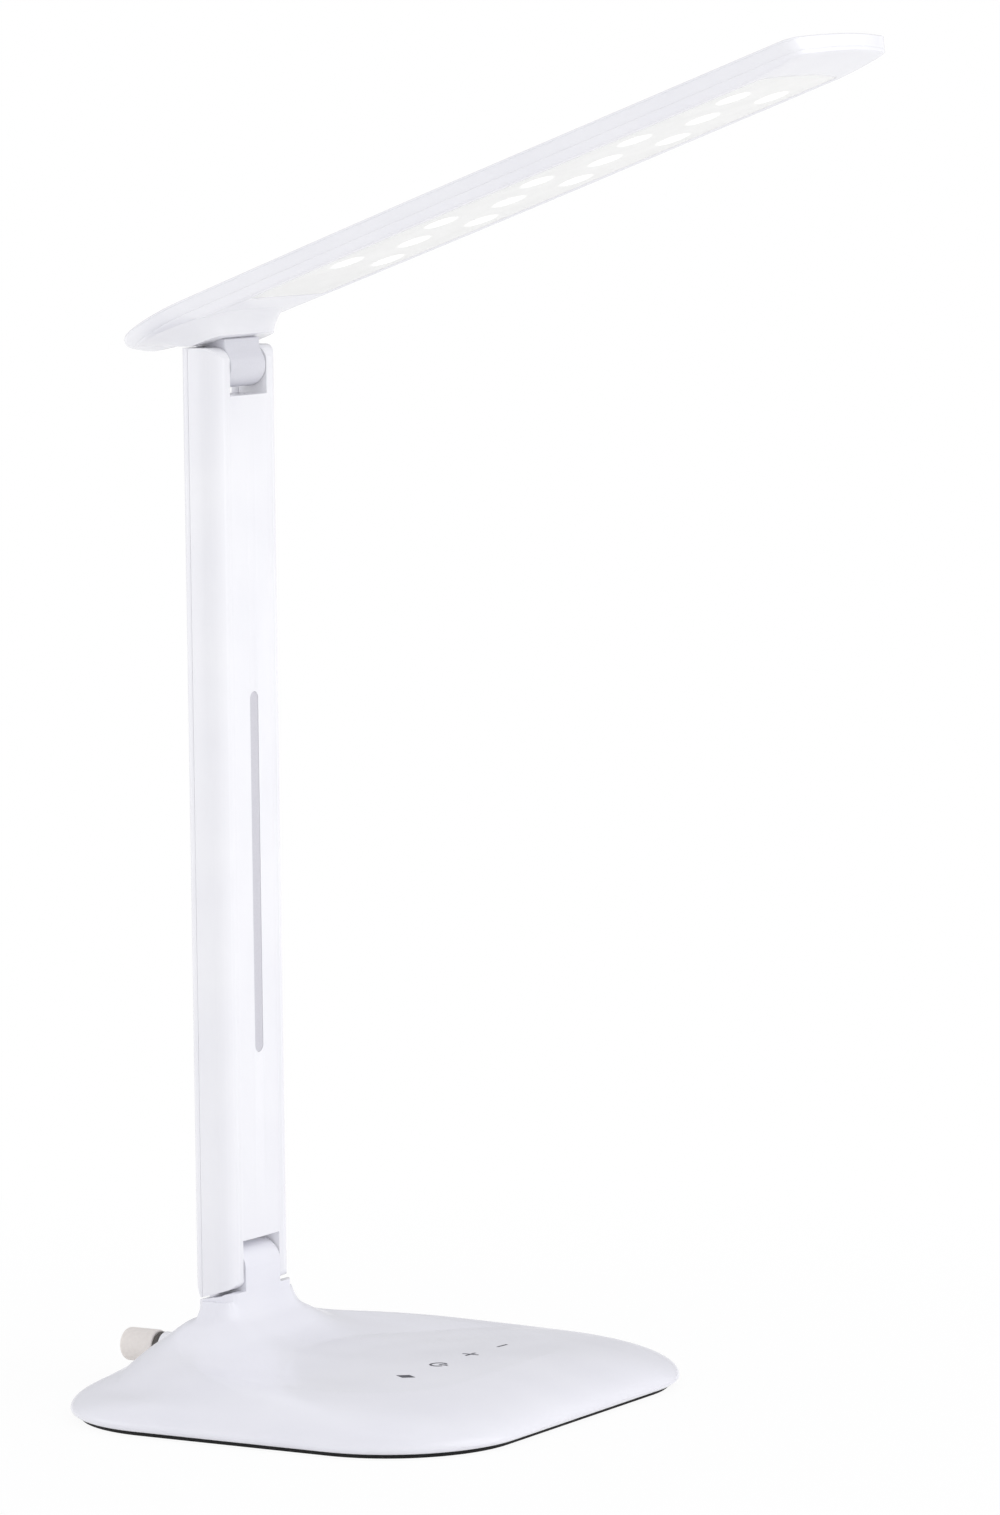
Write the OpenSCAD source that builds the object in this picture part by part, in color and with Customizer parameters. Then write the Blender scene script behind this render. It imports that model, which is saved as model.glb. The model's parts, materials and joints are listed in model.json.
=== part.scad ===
// Folding LED desk lamp: a domed base with a touch panel, a flat stem and a
// slim blade head, joined by two friction hinges that let it fold flat.
// +X is the way the head reaches, +Z is up, and the origin is the middle of
// the base's underside. Lengths are in millimetres.

/* [Base] */
// Length of the base, front to back, at its widest
base_len = 162; // [150:1:180]
// Width of the base, side to side, at its widest
base_wid = 185; // [170:1:210]
// Corner radius of the base in plan
base_corner = 45; // [30:1:50]
// Height of the flat top of the base above the table
base_top = 16.6; // [15:0.2:22]
// Height of the base's widest line above the table
edge_height = 2.7; // [2.3:0.1:4]
// Wall of the base cover
base_wall = 2.4; // [1.8:0.1:3]
// Thickness of the rubber pad under the base
pad_thick = 1.2; // [0.8:0.1:2]
// How far the rubber pad stands back from the base's widest line
pad_inset = 3.4; // [2:0.1:6]
// Thickness of the plastic plate that closes the base
plate_thick = 2; // [1.5:0.1:3]
// Length of the steel ballast
ballast_len = 92; // [60:1:100]
// Gap between the steel ballast and the posts of the base screws
ballast_gap = 1.7; // [1:0.1:8]
// Thickness of the steel ballast
ballast_thick = 4; // [2:0.5:5]

/* [Touch panel] */
// Distance of the row of touch keys in front of the base's middle
keys_x = 29.7; // [20:0.1:35]
// Spacing of the touch keys
key_pitch = 20.5; // [17:0.1:24]
// Size of each printed key symbol
key_size = 5.6; // [4:0.1:7]
// Line width of the key symbols
key_line = 0.8; // [0.5:0.1:1]
// Depth of the printed key symbols in the cover
key_depth = 0.3; // [0.2:0.1:0.5]

/* [Stem] */
// Width of the stem
stem_wid = 39; // [36:0.5:46]
// Depth of the stem, front to back
stem_dep = 14.2; // [13:0.1:16]
// Height of the lower hinge pin above the table
hinge_low = 41.5; // [40:0.5:44]
// Distance between the two hinge pins
hinge_gap = 299; // [280:1:330]
// Distance of both hinge pins in front of the base's rear edge
hinge_inset = 29.5; // [26:0.1:34]
// Width of each cheek beside a knuckle
cheek_wid = 8.35; // [8.3:0.05:9.5]
// Distance from a hinge pin to the closed end of its notch
notch_deep = 9.5; // [8.6:0.1:12]
// Radius along the long edges of the stem's front
stem_round = 4.5; // [2:0.1:5]
// Wall of the stem
stem_wall = 2; // [1.6:0.1:2.4]
// Depth of the stem's back cover
back_dep = 2.8; // [2.2:0.1:3.2]
// Width of the grey inlay in the stem's front
strip_wid = 4.8; // [2:0.1:6]
// Length of the grey inlay
strip_len = 120; // [80:1:150]
// Distance from the lower hinge pin to the bottom of the grey inlay
strip_low = 71.5; // [50:0.5:90]

/* [Hinges] */
// Radius of both hinge knuckles
knuckle_r = 7; // [6.4:0.1:7]
// Diameter of both hinge bolts
bolt_d = 5; // [4:0.1:5]
// Running clearance around a hinge bolt
bolt_clear = 0.05; // [0.03:0.01:0.1]
// Thickness of a friction washer
friction_thick = 0.5; // [0.4:0.05:0.8]
// Thickness of the steel of a hinge yoke
yoke_thick = 1.5; // [1:0.1:1.8]

/* [Head] */
// Tilt of the head above level, with the lamp open
head_tilt = 20; // [10:1:25]
// Distance from the upper hinge pin to the head's front edge
head_front = 253; // [230:1:265]
// Distance from the upper hinge pin to the head's rear tip
head_rear = 36; // [30:1:45]
// Width of the head along its top edge
head_wid = 65; // [60:1:70]
// Height of the head's underside over the upper hinge pin, square to the head
head_under = 14; // [13.5:0.1:15]
// Height of the head's side wall
head_side = 7.5; // [6.5:0.1:9]
// Rise of the head's crowned top above its side wall
head_crown = 2.3; // [1.5:0.1:3]
// How much the head's side wall leans outward
head_lean = 3.6; // [2:0.1:5]
// Wall of the head's shells
head_wall = 1.8; // [1.4:0.1:2.2]
// Number of pairs of LEDs
led_pairs = 5; // [4:1:5]
// Distance from the last pair of LEDs to the front edge of the diffuser
led_last = 20.6; // [16:0.1:30]
// Spacing of the two LEDs of a pair across the head
led_across = 25; // [20:0.5:28]
// Distance from the upper hinge pin to the first pair of LEDs
led_first = 62; // [58:0.5:66]

/* [Cord inlet] */
// Diameter of the cord gland at the back of the base
gland_d = 11.2; // [9:0.1:12]
// Length of the cord gland
gland_len = 15.2; // [12:0.1:20]
// Bore of the cord gland
gland_bore = 4.6; // [3:0.1:6]
// Height of the gland's middle above the table
gland_z = 10.4; // [9.5:0.1:11]

/* [Hidden] */

$fn = 48;
eps = 0.02;            // overlap that joins two solids of one piece
fit = 0.05;            // radial gap of a still piece in its hole
seat = 0.1;            // gap of a piece that drops into a recess
arc_steps = 8;         // segments in a corner of a lofted outline

white = "#f2f2f4";
shade_grey = "#c9c6c4";
dark = "#222222";
steel = "#b9bcc0";
board_green = "#2f6b46";

// Base
base_hx = base_len / 2;
base_hy = base_wid / 2;
hinge_back = base_hx - hinge_inset;   // distance of both hinge pins behind the base's middle
floor_z = pad_thick;
plate_top = floor_z + plate_thick;
dome_reach = 60;       // inset at which the dome is level
dome_power = 2.5;
dome_root = 1.85;
edge_reach = 30;       // inset where the front and sides start to turn into the neck
rear_reach = 11.4;     // and where the rear does
corner_taper = 0.21;   // how much an inner ring's corner shrinks for each millimetre of inset
lip_inset = 1.4;       // how far the cover's lower edge turns in under its widest line
rim_gap = 0.3;         // gap between the base plate and the cover's wall

// Neck of the base
neck_hx = stem_dep / 2 + 0.15;
neck_hy = stem_wid / 2 + 0.2;
neck_corner = 4.5;
neck_x = -hinge_back;
neck_top = hinge_low - 10;
neck_gap = 0.3;        // gap between the neck and the cheeks' lower ends
flare_reach = 29.7;
flare_power = 4.7;
flare_rear = 2;        // the flare is this many times shorter behind the neck
flare_side = 0.73;     // and longer to its sides

// Hinges
low_pin = [-hinge_back, 0, hinge_low];
high_pin = [-hinge_back, 0, hinge_low + hinge_gap];
bolt_r = bolt_d / 2;
bore_r = bolt_r + bolt_clear;
notch_hy = stem_wid / 2 - cheek_wid;
tongue_hy = notch_hy - friction_thick - 0.05;
cheek_wall = 1.8;
ear_y = notch_hy + cheek_wall;
washer_y = ear_y + yoke_thick;
washer_thick = 1;
head_y = washer_y + washer_thick;
bolt_head_thick = 2.2;
nut_thick = 2.2;
bolt_head_r = 4.1;
washer_r = 4.2;
nut_r = 4.3;
yoke_len = 16;         // length of the yoke's plate above its bolt clearance
yoke_edge = 4.2;       // steel around the bolt
yoke_screw_r = 1.2;
yoke_screw_head_r = 2.2;
wire_hole_r = 1.4;
wire_hole_len = 30;
wire_hole_back = 4.6;  // distance of the wire hole behind a hinge pin

// Stem
stem_hx = stem_dep / 2;
stem_hy = stem_wid / 2;
stem_front_x = -hinge_back + stem_hx;
stem_rear_x = -hinge_back - stem_hx;
seam_x = stem_rear_x + back_dep;
stem_bottom = hinge_low - 9.7;
stem_top = high_pin[2] + 6.5;
bottom_slope = 16;     // slope of the cheeks' lower ends, which rise to the front
bottom_round = 3;
top_round = 6;
back_round = 2;        // edge radius of the back cover
back_end = 9;          // length over which the back cover's bottom end curves in
back_end_r = (pow(back_end, 2) + pow(back_dep - 0.2, 2)) / (2 * (back_dep - 0.2));
front_bow_r = 170;     // radius of the stem's slightly bowed front
notch_low = hinge_low + notch_deep;
notch_high = high_pin[2] - notch_deep;
cavity_front = stem_front_x - stem_wall;
cavity_hy = stem_hy - 1.6;
hollow_low = notch_low + stem_wall;
hollow_high = notch_high - stem_wall;
strip_z = hinge_low + strip_low;
strip_recess = 1.2;
strip_thick = 1;
stem_screw_r = 1.25;
stem_screw_head_r = 2.5;
stem_boss_r = 3;
stem_boss_y = 8;
stem_screw_z = [hollow_low + 30, (hollow_low + hollow_high) / 2, hollow_high - 30];
wire_r = 0.9;
wire_gap = 0.4;

// Head, in its own frame: X along the head, Z square to it, origin on the upper pin
head_hw = head_wid / 2;
top_n = head_under + head_side;
seam_n = head_under + head_side * 0.45;
tail_u = 5;            // where the rear end's rounding starts
tail_power = 1.45;     // exponent of the rear end's outline
tail_hw = 0.86;        // width where the rounding starts, as a share of the full width
taper_len = 112;       // length over which the head then widens
front_bow = 2.5;        // how far the front edge bows out
rear_rise = 10;        // how far the underside's rear end stands in from the tip
nose_rise = 15;        // how far the underside's front end stands in from the front edge
rear_share = 0.75;     // share of the side wall's height over which the rear end comes out
nose_share = 0.25;     // and over which the front end does
nose_corner = 6;
lens_face_n = head_under + 0.2;
lip_n = head_under + 1.2;
lens_n = lip_n + 0.8;
lens_rear = 29;
lens_inset = 3.4;      // how far the lens window stands in from the underside's outline
lens_front = head_front - nose_rise - lens_inset;
lens_ledge = 1.2;
led_wid = 5.4;
led_len = 5.4;
led_thick = 0.8;
led_n = lens_n + 1;
board_n = led_n + led_thick;
board_thick = 1.2;
led_pitch = (lens_front - led_last - led_first) / (led_pairs - 1);
board_hw = led_across / 2 + 7;
board_rear = led_first - 12;
board_front = led_first + (led_pairs - 1) * led_pitch + 12;
led_singles = led_pairs - 1;
tray_rear = lens_rear + 3;
head_boss_r = 2.8;
boss_cut = 20;         // length of a cut that clears a boss
head_screw_r = 1.1;
neck_under = knuckle_r + 0.7;   // height of the head's shoulder over the pin
neck_under_n = stem_hx + 0.55;  // and its height square to the head, further forward
throat_hx = 7;
throat_hy = 18;
throat_corner = 4;
throat_top_hx = 20;
throat_top_hy = head_hw - head_lean - 0.6;
throat_power = 3.2;
web_front = 4.6;       // front of the web that joins the upper knuckle to the head

// Inlet
gland_r = gland_d / 2;
sleeve_r = gland_r - 0.4;
ring_r = gland_r - 0.5;
ring_len = 2.2;
gland_front_x = -base_hx - 2.9;
nut_len = 3;
inlet_nut_r = sleeve_r + 2;
inlet_web_hy = sleeve_r + 2.6;
inlet_web_x = neck_x - neck_hx + base_wall + 0.5;
sleeve_in_x = inlet_web_x + nut_len + 0.6;
spigot_r = sleeve_r - 1.6;

// ---------- outlines and lofts ----------

// Points of a rounded rectangle about [cx, 0], anticlockwise
function rounded(cx, hx, hy, r) = [
    for (q = [0 : 3]) for (i = [0 : arc_steps])
        let (a = 90 * q + 90 * i / arc_steps,
             sx = (q == 0 || q == 3) ? 1 : -1,
             sy = q < 2 ? 1 : -1)
        [cx + sx * (hx - r) + r * cos(a), sy * (hy - r) + r * sin(a)]
];

function blend(a, b, t) = a * (1 - t) + b * t;

function at_height(points, z) = [for (p = points) [p[0], p[1], z]];

// Height of the dome at an inset from the base's widest line
function dome(e) =
    edge_height + (base_top - edge_height)
        * pow(1 - pow(1 - min(max(e / dome_reach, 0), 1), dome_power), 1 / dome_root);

// Extra height near the neck
function flare(p) =
    let (dx = max(abs(p[0] - neck_x) - (neck_hx - neck_corner), 0) * (p[0] < neck_x ? flare_rear : 1),
         dy = max(abs(p[1]) - (neck_hy - neck_corner), 0) * flare_side,
         d = max(norm([dx, dy]) - neck_corner, 0))
    (neck_top - base_top) * pow(max(1 - d / flare_reach, 0), flare_power);

// Plan of the cover where it has come in by e from its widest line, less a wall
function dome_ring(e, wall) = let (
        t = max(e - edge_reach, 0) / (dome_reach - edge_reach),
        tr = max(e - rear_reach, 0) / (dome_reach - rear_reach),
        front = blend(base_hx - min(e, edge_reach), neck_x + neck_hx, t),
        rear = blend(-base_hx + min(e, rear_reach), neck_x - neck_hx, tr),
        side = blend(base_hy - min(e, edge_reach), neck_hy, t),
        r = blend(base_corner - corner_taper * min(e, edge_reach), neck_corner, t))
    rounded((front + rear) / 2, (front - rear) / 2 - wall, side - wall, max(r - wall, 1));

// One ring of the cover's skin: the inner skin lies lower by the wall, less at the edge
function skin_ring(e, wall) = let (plan = dome_ring(e, wall), outer = dome_ring(e, 0))
    [for (i = [0 : len(plan) - 1])
        [plan[i][0], plan[i][1], dome(e) + flare(outer[i]) - wall * min(e / 6, 1)]];

function skin(steps, wall) = concat(
    [at_height(rounded(0, base_hx - lip_inset - wall, base_hy - lip_inset - wall,
        base_corner - lip_inset - wall), floor_z - (wall > 0 ? 1 : 0))],
    [for (e = steps) skin_ring(e, wall)]);

// Insets of the rings of the cover's two skins, as shares of the dome's reach
outer_shares = [0, 0.013, 0.05, 0.133, 0.267, 0.467, 0.633, 0.767, 0.867, 0.925, 0.967, 0.988, 1];
inner_shares = [0, 0.05, 0.15, 0.333, 0.567, 0.767, 0.883, 0.958, 1];
outer_steps = [for (s = outer_shares) s * dome_reach];
inner_steps = [for (s = inner_shares) s * dome_reach];

// A closed solid through a stack of rings with equal numbers of points
module loft(rings) {
    n = len(rings[0]);
    m = len(rings);
    points = [for (r = rings) for (p = r) p];
    sides = [for (k = [0 : m - 2]) for (i = [0 : n - 1]) for (half = [0, 1])
        let (a = k * n + i, b = k * n + (i + 1) % n)
        half == 0 ? [a, a + n, b] : [b, a + n, b + n]];
    polyhedron(points = points, faces = concat(
        sides,
        [[for (i = [0 : n - 1]) i]],
        [[for (i = [n - 1 : -1 : 0]) (m - 1) * n + i]]));
}

module slab(cx, hx, hy, r, z0, z1) {
    translate([cx, 0, z0]) linear_extrude(z1 - z0) {
        square([2 * (hx - r), 2 * hy], center = true);
        square([2 * hx, 2 * (hy - r)], center = true);
        for (sx = [-1, 1], sy = [-1, 1]) translate([sx * (hx - r), sy * (hy - r)]) circle(r);
    }
}

// A cylinder along Y between two values of Y
module across(r, y0, y1) {
    translate([0, y0, 0]) rotate([-90, 0, 0]) cylinder(r = r, h = y1 - y0);
}

// A cylinder along X between two values of X
module along(r, x0, x1) {
    translate([x0, 0, 0]) rotate([0, 90, 0]) cylinder(r = r, h = x1 - x0);
}

// A box between two corners
module block(a, b) {
    translate(a) cube(b - a);
}

// What is left outside a quarter round, to trim an edge that runs along Y
module edge_trim(r, sx, sz, hy) {
    difference() {
        block([min(0, sx * (r + 1)), -hy, min(0, sz * (r + 1))],
              [max(0, sx * (r + 1)), hy, max(0, sz * (r + 1))]);
        across(r, -hy - 1, hy + 1);
    }
}

// ---------- base ----------

module foot_pad() {
    color(dark)
        slab(0, base_hx - pad_inset, base_hy - pad_inset, base_corner - pad_inset, 0, floor_z);
}

plate_inset = lip_inset + base_wall + rim_gap;
screw_inset = 22;      // inset of the base screws along the corners' diagonals
screw_corner = base_corner - corner_taper * screw_inset;
screw_x = base_hx - screw_inset - screw_corner * (1 - cos(45));
screw_y = base_hy - screw_inset - screw_corner * (1 - cos(45));
base_screw_spots = [for (sx = [-1, 1], sy = [-1, 1]) [sx * screw_x, sy * screw_y]];
base_screw_r = 1.4;
base_screw_head_r = 2.8;
base_screw_head = 1.4;
ballast_r = 6;
control_x0 = neck_x + 1.3;
control_len = 17;
control_hy = 36;
control_z = plate_top + 3;
control_thick = 1.6;
cover_boss_r = 4;
ballast_x0 = control_x0 + control_len + 1.2;
ballast_hy = screw_y - cover_boss_r - ballast_gap;
control_posts = [for (sy = [-1, 1]) [control_x0 + control_len / 2, sy * (control_hy - 4)]];

module base_plate() {
    color(dark) difference() {
        union() {
            slab(0, base_hx - plate_inset, base_hy - plate_inset, base_corner - plate_inset,
                floor_z, plate_top);
            for (p = control_posts) translate([p[0], p[1], plate_top - eps])
                cylinder(r = 3, h = control_z - plate_top + eps);
        }
        for (p = base_screw_spots) translate([p[0], p[1], floor_z]) {
            translate([0, 0, -1]) cylinder(r = base_screw_r + fit, h = plate_thick + 2);
            translate([0, 0, -1]) cylinder(r = base_screw_head_r + fit, h = base_screw_head + 1);
        }
        for (p = control_posts) translate([p[0], p[1], plate_top - 1])
            cylinder(r = board_screw_r + fit, h = 5);
    }
}

module ballast_plate() {
    color(steel)
        slab(ballast_x0 + ballast_len / 2, ballast_len / 2, ballast_hy, ballast_r,
            plate_top, plate_top + ballast_thick);
}

key_run = (base_hx - edge_reach - keys_x) / (base_hx - edge_reach - neck_x - neck_hx);
key_z = dome(blend(edge_reach, dome_reach, key_run));
touch_post_r = 2.6;
touch_gap = 3.6;       // from the touch board's underside to the cover
touch_z = key_z - base_wall - touch_gap;
touch_thick = 1.6;
touch_len = 22;
touch_margin = 12;     // board past the outer keys
touch_hy = key_pitch * 1.5 + touch_margin;
touch_posts = [for (sx = [-1, 1], sy = [-1, 1]) [keys_x + sx * 7.5, sy * (touch_hy - 4)]];
board_screw_r = 1;
board_screw_head_r = 1.9;

module base_cover() {
    color(white) difference() {
        union() {
            difference() {
                loft(skin(outer_steps, 0));
                difference() {
                    loft(skin(inner_steps, base_wall));
                    for (p = base_screw_spots) translate([p[0], p[1], plate_top])
                        cylinder(r = cover_boss_r, h = base_top);
                    for (p = touch_posts) translate([p[0], p[1], touch_z + touch_thick])
                        cylinder(r = touch_post_r, h = base_top);
                    block([-base_hx, -inlet_web_hy, plate_top + 1],
                          [inlet_web_x, inlet_web_hy, neck_top - 10]);
                }
            }
            neck_cap();
            lower_tongue();
        }
        translate(low_pin) across(bore_r, -tongue_hy - 1, tongue_hy + 1);
        translate([-hinge_back - wire_hole_back, 0, neck_top - 4])
            cylinder(r = wire_hole_r, h = wire_hole_len);
        for (p = base_screw_spots) translate([p[0], p[1], plate_top - 1])
            cylinder(r = base_screw_r + fit, h = 7);
        for (p = touch_posts) translate([p[0], p[1], touch_z])
            cylinder(r = board_screw_r + fit, h = touch_thick + 3);
        translate([0, 0, gland_z])
            along(sleeve_r + fit, -base_hx - 5, sleeve_in_x + 5);
        touch_marks(key_depth + 1, fit / 2);
    }
}

module lower_tongue() {
    translate(low_pin) across(knuckle_r, -tongue_hy, tongue_hy);
    block([-hinge_back - knuckle_r, -tongue_hy, neck_top - 3],
          [-hinge_back + knuckle_r, tongue_hy, hinge_low]);
}

// The neck's top rises to the front along the cheeks' lower ends. It is hollowed where
// their rounded front corners swing past, and stays under the folded stem's front.
module neck_cap() {
    corner_x = stem_hx - bottom_round;
    corner_z = stem_bottom + (stem_dep - bottom_round) * tan(bottom_slope) + bottom_round - hinge_low;
    difference() {
        translate([0, 0, neck_top - eps]) linear_extrude(stem_dep)
            polygon(rounded(neck_x, neck_hx, neck_hy, neck_corner));
        translate([stem_rear_x, 0, stem_bottom - neck_gap]) rotate([0, -bottom_slope, 0])
            block([-stem_dep, -stem_wid, 0], [2 * stem_dep, stem_wid, 2 * stem_dep]);
        translate(low_pin) {
            across(norm([corner_x, corner_z]) + bottom_round + neck_gap, -stem_wid, stem_wid);
            block([-stem_dep, -stem_wid, -stem_hx - neck_gap], [stem_dep, stem_wid, stem_dep]);
        }
    }
}

// The four key symbols, drawn as solids of a given height under the panel's top
module touch_marks(h, grow) {
    r = key_size / 2;
    w = key_line / 2 + grow;
    translate([keys_x, 0, key_z - key_depth]) {
        // mode: a ring with one half filled
        translate([0, -1.5 * key_pitch, 0]) {
            ring(r, key_line, h, grow);
            intersection() {
                cylinder(r = r - key_line / 2, h = h);
                translate([0, -r, h / 2]) cube([2 * r, 2 * r, 2 * h], center = true);
            }
        }
        // power: an open ring with a bar
        translate([0, -0.5 * key_pitch, 0]) {
            difference() {
                ring(r, key_line, h, grow);
                translate([r, 0, h / 2])
                    cube([key_size, 3 * key_line - 2 * grow, 2 * h], center = true);
            }
            block([0.2, -w, 0], [r + 0.4, w, h]);
        }
        // plus
        translate([0, 0.5 * key_pitch, 0]) {
            block([-r, -w, 0], [r, w, h]);
            block([-w, -r, 0], [w, r, h]);
        }
        // minus
        translate([0, 1.5 * key_pitch, 0]) block([-w, -r, 0], [w, r, h]);
    }
}

module ring(r, w, h, grow) {
    difference() {
        cylinder(r = r + grow, h = h);
        translate([0, 0, -1]) cylinder(r = r - w - grow, h = h + 2);
    }
}

module touch_icons() {
    color("#6a6a70") translate([0, 0, fit]) touch_marks(key_depth - 2 * fit, 0);
}

module touch_board() {
    color(board_green) difference() {
        block([keys_x - touch_len / 2, -touch_hy, touch_z],
              [keys_x + touch_len / 2, touch_hy, touch_z + touch_thick]);
        for (p = touch_posts) translate([p[0], p[1], touch_z - 1])
            cylinder(r = board_screw_r + fit, h = touch_thick + 2);
    }
}

module touch_springs() {
    color(steel) for (k = [-1.5 : 1 : 1.5])
        translate([keys_x, k * key_pitch, touch_z + touch_thick]) ring(
            3, 0.8, key_z - base_wall - touch_z - touch_thick - 4 * seat, 0);
}

module control_board() {
    color(board_green) difference() {
        block([control_x0, -control_hy, control_z],
              [control_x0 + control_len, control_hy, control_z + control_thick]);
        for (p = control_posts) translate([p[0], p[1], control_z - 1])
            cylinder(r = board_screw_r + fit, h = control_thick + 2);
    }
}

control_top = control_z + control_thick;
control_mid = control_x0 + control_len / 2;
capacitor_r = 4;
capacitor_y = 11;
capacitor_len = 6;
coil_len = 4.4;
chip_y = 23;
chip_hy = 3;
chip_thick = 1.2;
diode_hy = 3.5;
diode_thick = 1.6;

// A capacitor and a coil, and past them a chip and a rectifier
module control_parts() {
    color("#3a3a40") {
        translate([control_mid, capacitor_y, control_top])
            cylinder(r = capacitor_r, h = capacitor_len);
        translate([control_mid, -capacitor_y, control_top])
            cylinder(r = capacitor_r, h = coil_len);
        block([control_mid - chip_hy, -chip_y - chip_hy, control_top],
              [control_mid + chip_hy, -chip_y + chip_hy, control_top + chip_thick]);
        block([control_mid - diode_hy, chip_y - diode_hy, control_top],
              [control_mid + diode_hy, chip_y + diode_hy, control_top + diode_thick]);
    }
}

module base_screws() {
    color(steel) for (p = base_screw_spots) translate([p[0], p[1], floor_z]) {
        cylinder(r = base_screw_head_r, h = base_screw_head - fit);
        cylinder(r = base_screw_r, h = plate_thick + 5);
    }
}

module board_screws() {
    color(steel) {
        for (p = touch_posts) translate([p[0], p[1], touch_z]) {
            translate([0, 0, -1]) cylinder(r = board_screw_head_r, h = 1);
            translate([0, 0, -eps]) cylinder(r = board_screw_r, h = touch_thick + 2.5);
        }
        for (p = control_posts) translate([p[0], p[1], control_top]) {
            cylinder(r = board_screw_head_r, h = 1);
            translate([0, 0, -control_thick - 2.5])
                cylinder(r = board_screw_r, h = control_thick + 2.5 + eps);
        }
    }
}

module inlet_sleeve() {
    color(white) translate([0, 0, gland_z]) difference() {
        along(sleeve_r, gland_front_x, sleeve_in_x);
        along(spigot_r + fit, gland_front_x - 1, sleeve_in_x + 1);
    }
}

module inlet_nut() {
    color(shade_grey) translate([0, 0, gland_z]) difference() {
        translate([inlet_web_x, 0, 0]) rotate([0, 90, 0]) rotate(30)
            cylinder(r = inlet_nut_r, h = nut_len, $fn = 6);
        along(sleeve_r + fit, inlet_web_x - 1, sleeve_in_x + 1);
    }
}

module cable_gland() {
    round_r = 1.6;
    color(shade_grey) translate([gland_front_x, 0, gland_z]) rotate([0, -90, 0]) difference() {
        rotate_extrude() {
            translate([gland_bore / 2, -6]) square([spigot_r - gland_bore / 2, 6 + eps]);
            translate([gland_bore / 2, ring_len])
                square([gland_r - gland_bore / 2, gland_len - ring_len - round_r]);
            translate([gland_bore / 2, 0]) square([spigot_r - gland_bore / 2, ring_len + eps]);
            translate([gland_bore / 2, gland_len - round_r - eps])
                square([gland_r - round_r - gland_bore / 2, round_r + eps]);
            translate([gland_r - round_r, gland_len - round_r]) circle(round_r);
        }
    }
}

module gland_ring() {
    color("#55504e") translate([0, 0, gland_z]) difference() {
        along(ring_r, gland_front_x - ring_len, gland_front_x);
        along(spigot_r + fit, gland_front_x - ring_len - 1, gland_front_x + 1);
    }
}

// ---------- hinges ----------

module bolt(pin) {
    color(steel) translate(pin) {
        across(bolt_r, -head_y - eps, head_y + nut_thick);
        across(bolt_head_r, -head_y - bolt_head_thick, -head_y);
    }
}

module lock_nut(pin) {
    color(steel) translate(pin) difference() {
        translate([0, head_y, 0]) rotate([-90, 0, 0]) cylinder(r = nut_r, h = nut_thick, $fn = 6);
        across(bolt_r + fit, head_y - 1, head_y + nut_thick + 1);
    }
}

module washer_pair(pin, r, y, thick) {
    translate(pin) for (sy = [-1, 1]) difference() {
        across(r, sy > 0 ? y : -y - thick, sy > 0 ? y + thick : -y);
        across(bolt_r + fit, -y - thick - 1, y + thick + 1);
    }
}

module spring_washers(pin) {
    color(steel) washer_pair(pin, washer_r, washer_y, washer_thick);
}

module friction_washers(pin) {
    color(dark) washer_pair(pin, knuckle_r - 0.6, notch_hy - friction_thick, friction_thick);
}

// Steel yoke inside the stem: a plate on the front wall and an ear in each cheek.
// way is +1 where the stem runs up from the pin and -1 where it runs down.
yoke_start = notch_deep + stem_wall + 0.2;
yoke_end = yoke_start + yoke_len;
yoke_plate_x = cavity_front + hinge_back;
yoke_screw_y = 7;
yoke_screw_rise = yoke_start + yoke_len / 2;

module yoke(pin, way) {
    color(steel) translate(pin) scale_z(way) difference() {
        union() {
            block([yoke_plate_x - yoke_thick, -washer_y, yoke_start],
                  [yoke_plate_x, washer_y, yoke_end]);
            for (sy = [-1, 1]) {
                block([-yoke_edge, min(sy * ear_y, sy * washer_y), 0],
                      [yoke_plate_x, max(sy * ear_y, sy * washer_y), yoke_end]);
                across(yoke_edge, min(sy * ear_y, sy * washer_y), max(sy * ear_y, sy * washer_y));
            }
        }
        across(bolt_r + fit, -washer_y - 1, washer_y + 1);
        for (sy = [-1, 1]) translate([0, sy * yoke_screw_y, yoke_screw_rise])
            along(yoke_screw_r + fit, 0, yoke_plate_x + 1);
    }
}

module yoke_screws(pin, way) {
    color(steel) translate(pin) scale_z(way) for (sy = [-1, 1])
        translate([0, sy * yoke_screw_y, yoke_screw_rise]) {
            along(yoke_screw_r, yoke_plate_x - yoke_thick - eps, yoke_plate_x + 1.3);
            along(yoke_screw_head_r, yoke_plate_x - yoke_thick - 1.3, yoke_plate_x - yoke_thick);
        }
}

module scale_z(way) {
    if (way > 0) children();
    else mirror([0, 0, 1]) children();
}

module lower_bolt() { bolt(low_pin); }
module lower_nut() { lock_nut(low_pin); }
module lower_spring_washers() { spring_washers(low_pin); }
module lower_friction_washers() { friction_washers(low_pin); }
module lower_yoke() { yoke(low_pin, 1); }
module lower_yoke_screws() { yoke_screws(low_pin, 1); }
module upper_bolt() { bolt(high_pin); }
module upper_nut() { lock_nut(high_pin); }
module upper_spring_washers() { spring_washers(high_pin); }
module upper_friction_washers() { friction_washers(high_pin); }
module upper_yoke() { yoke(high_pin, -1); }
module upper_yoke_screws() { yoke_screws(high_pin, -1); }

// ---------- stem ----------

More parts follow.
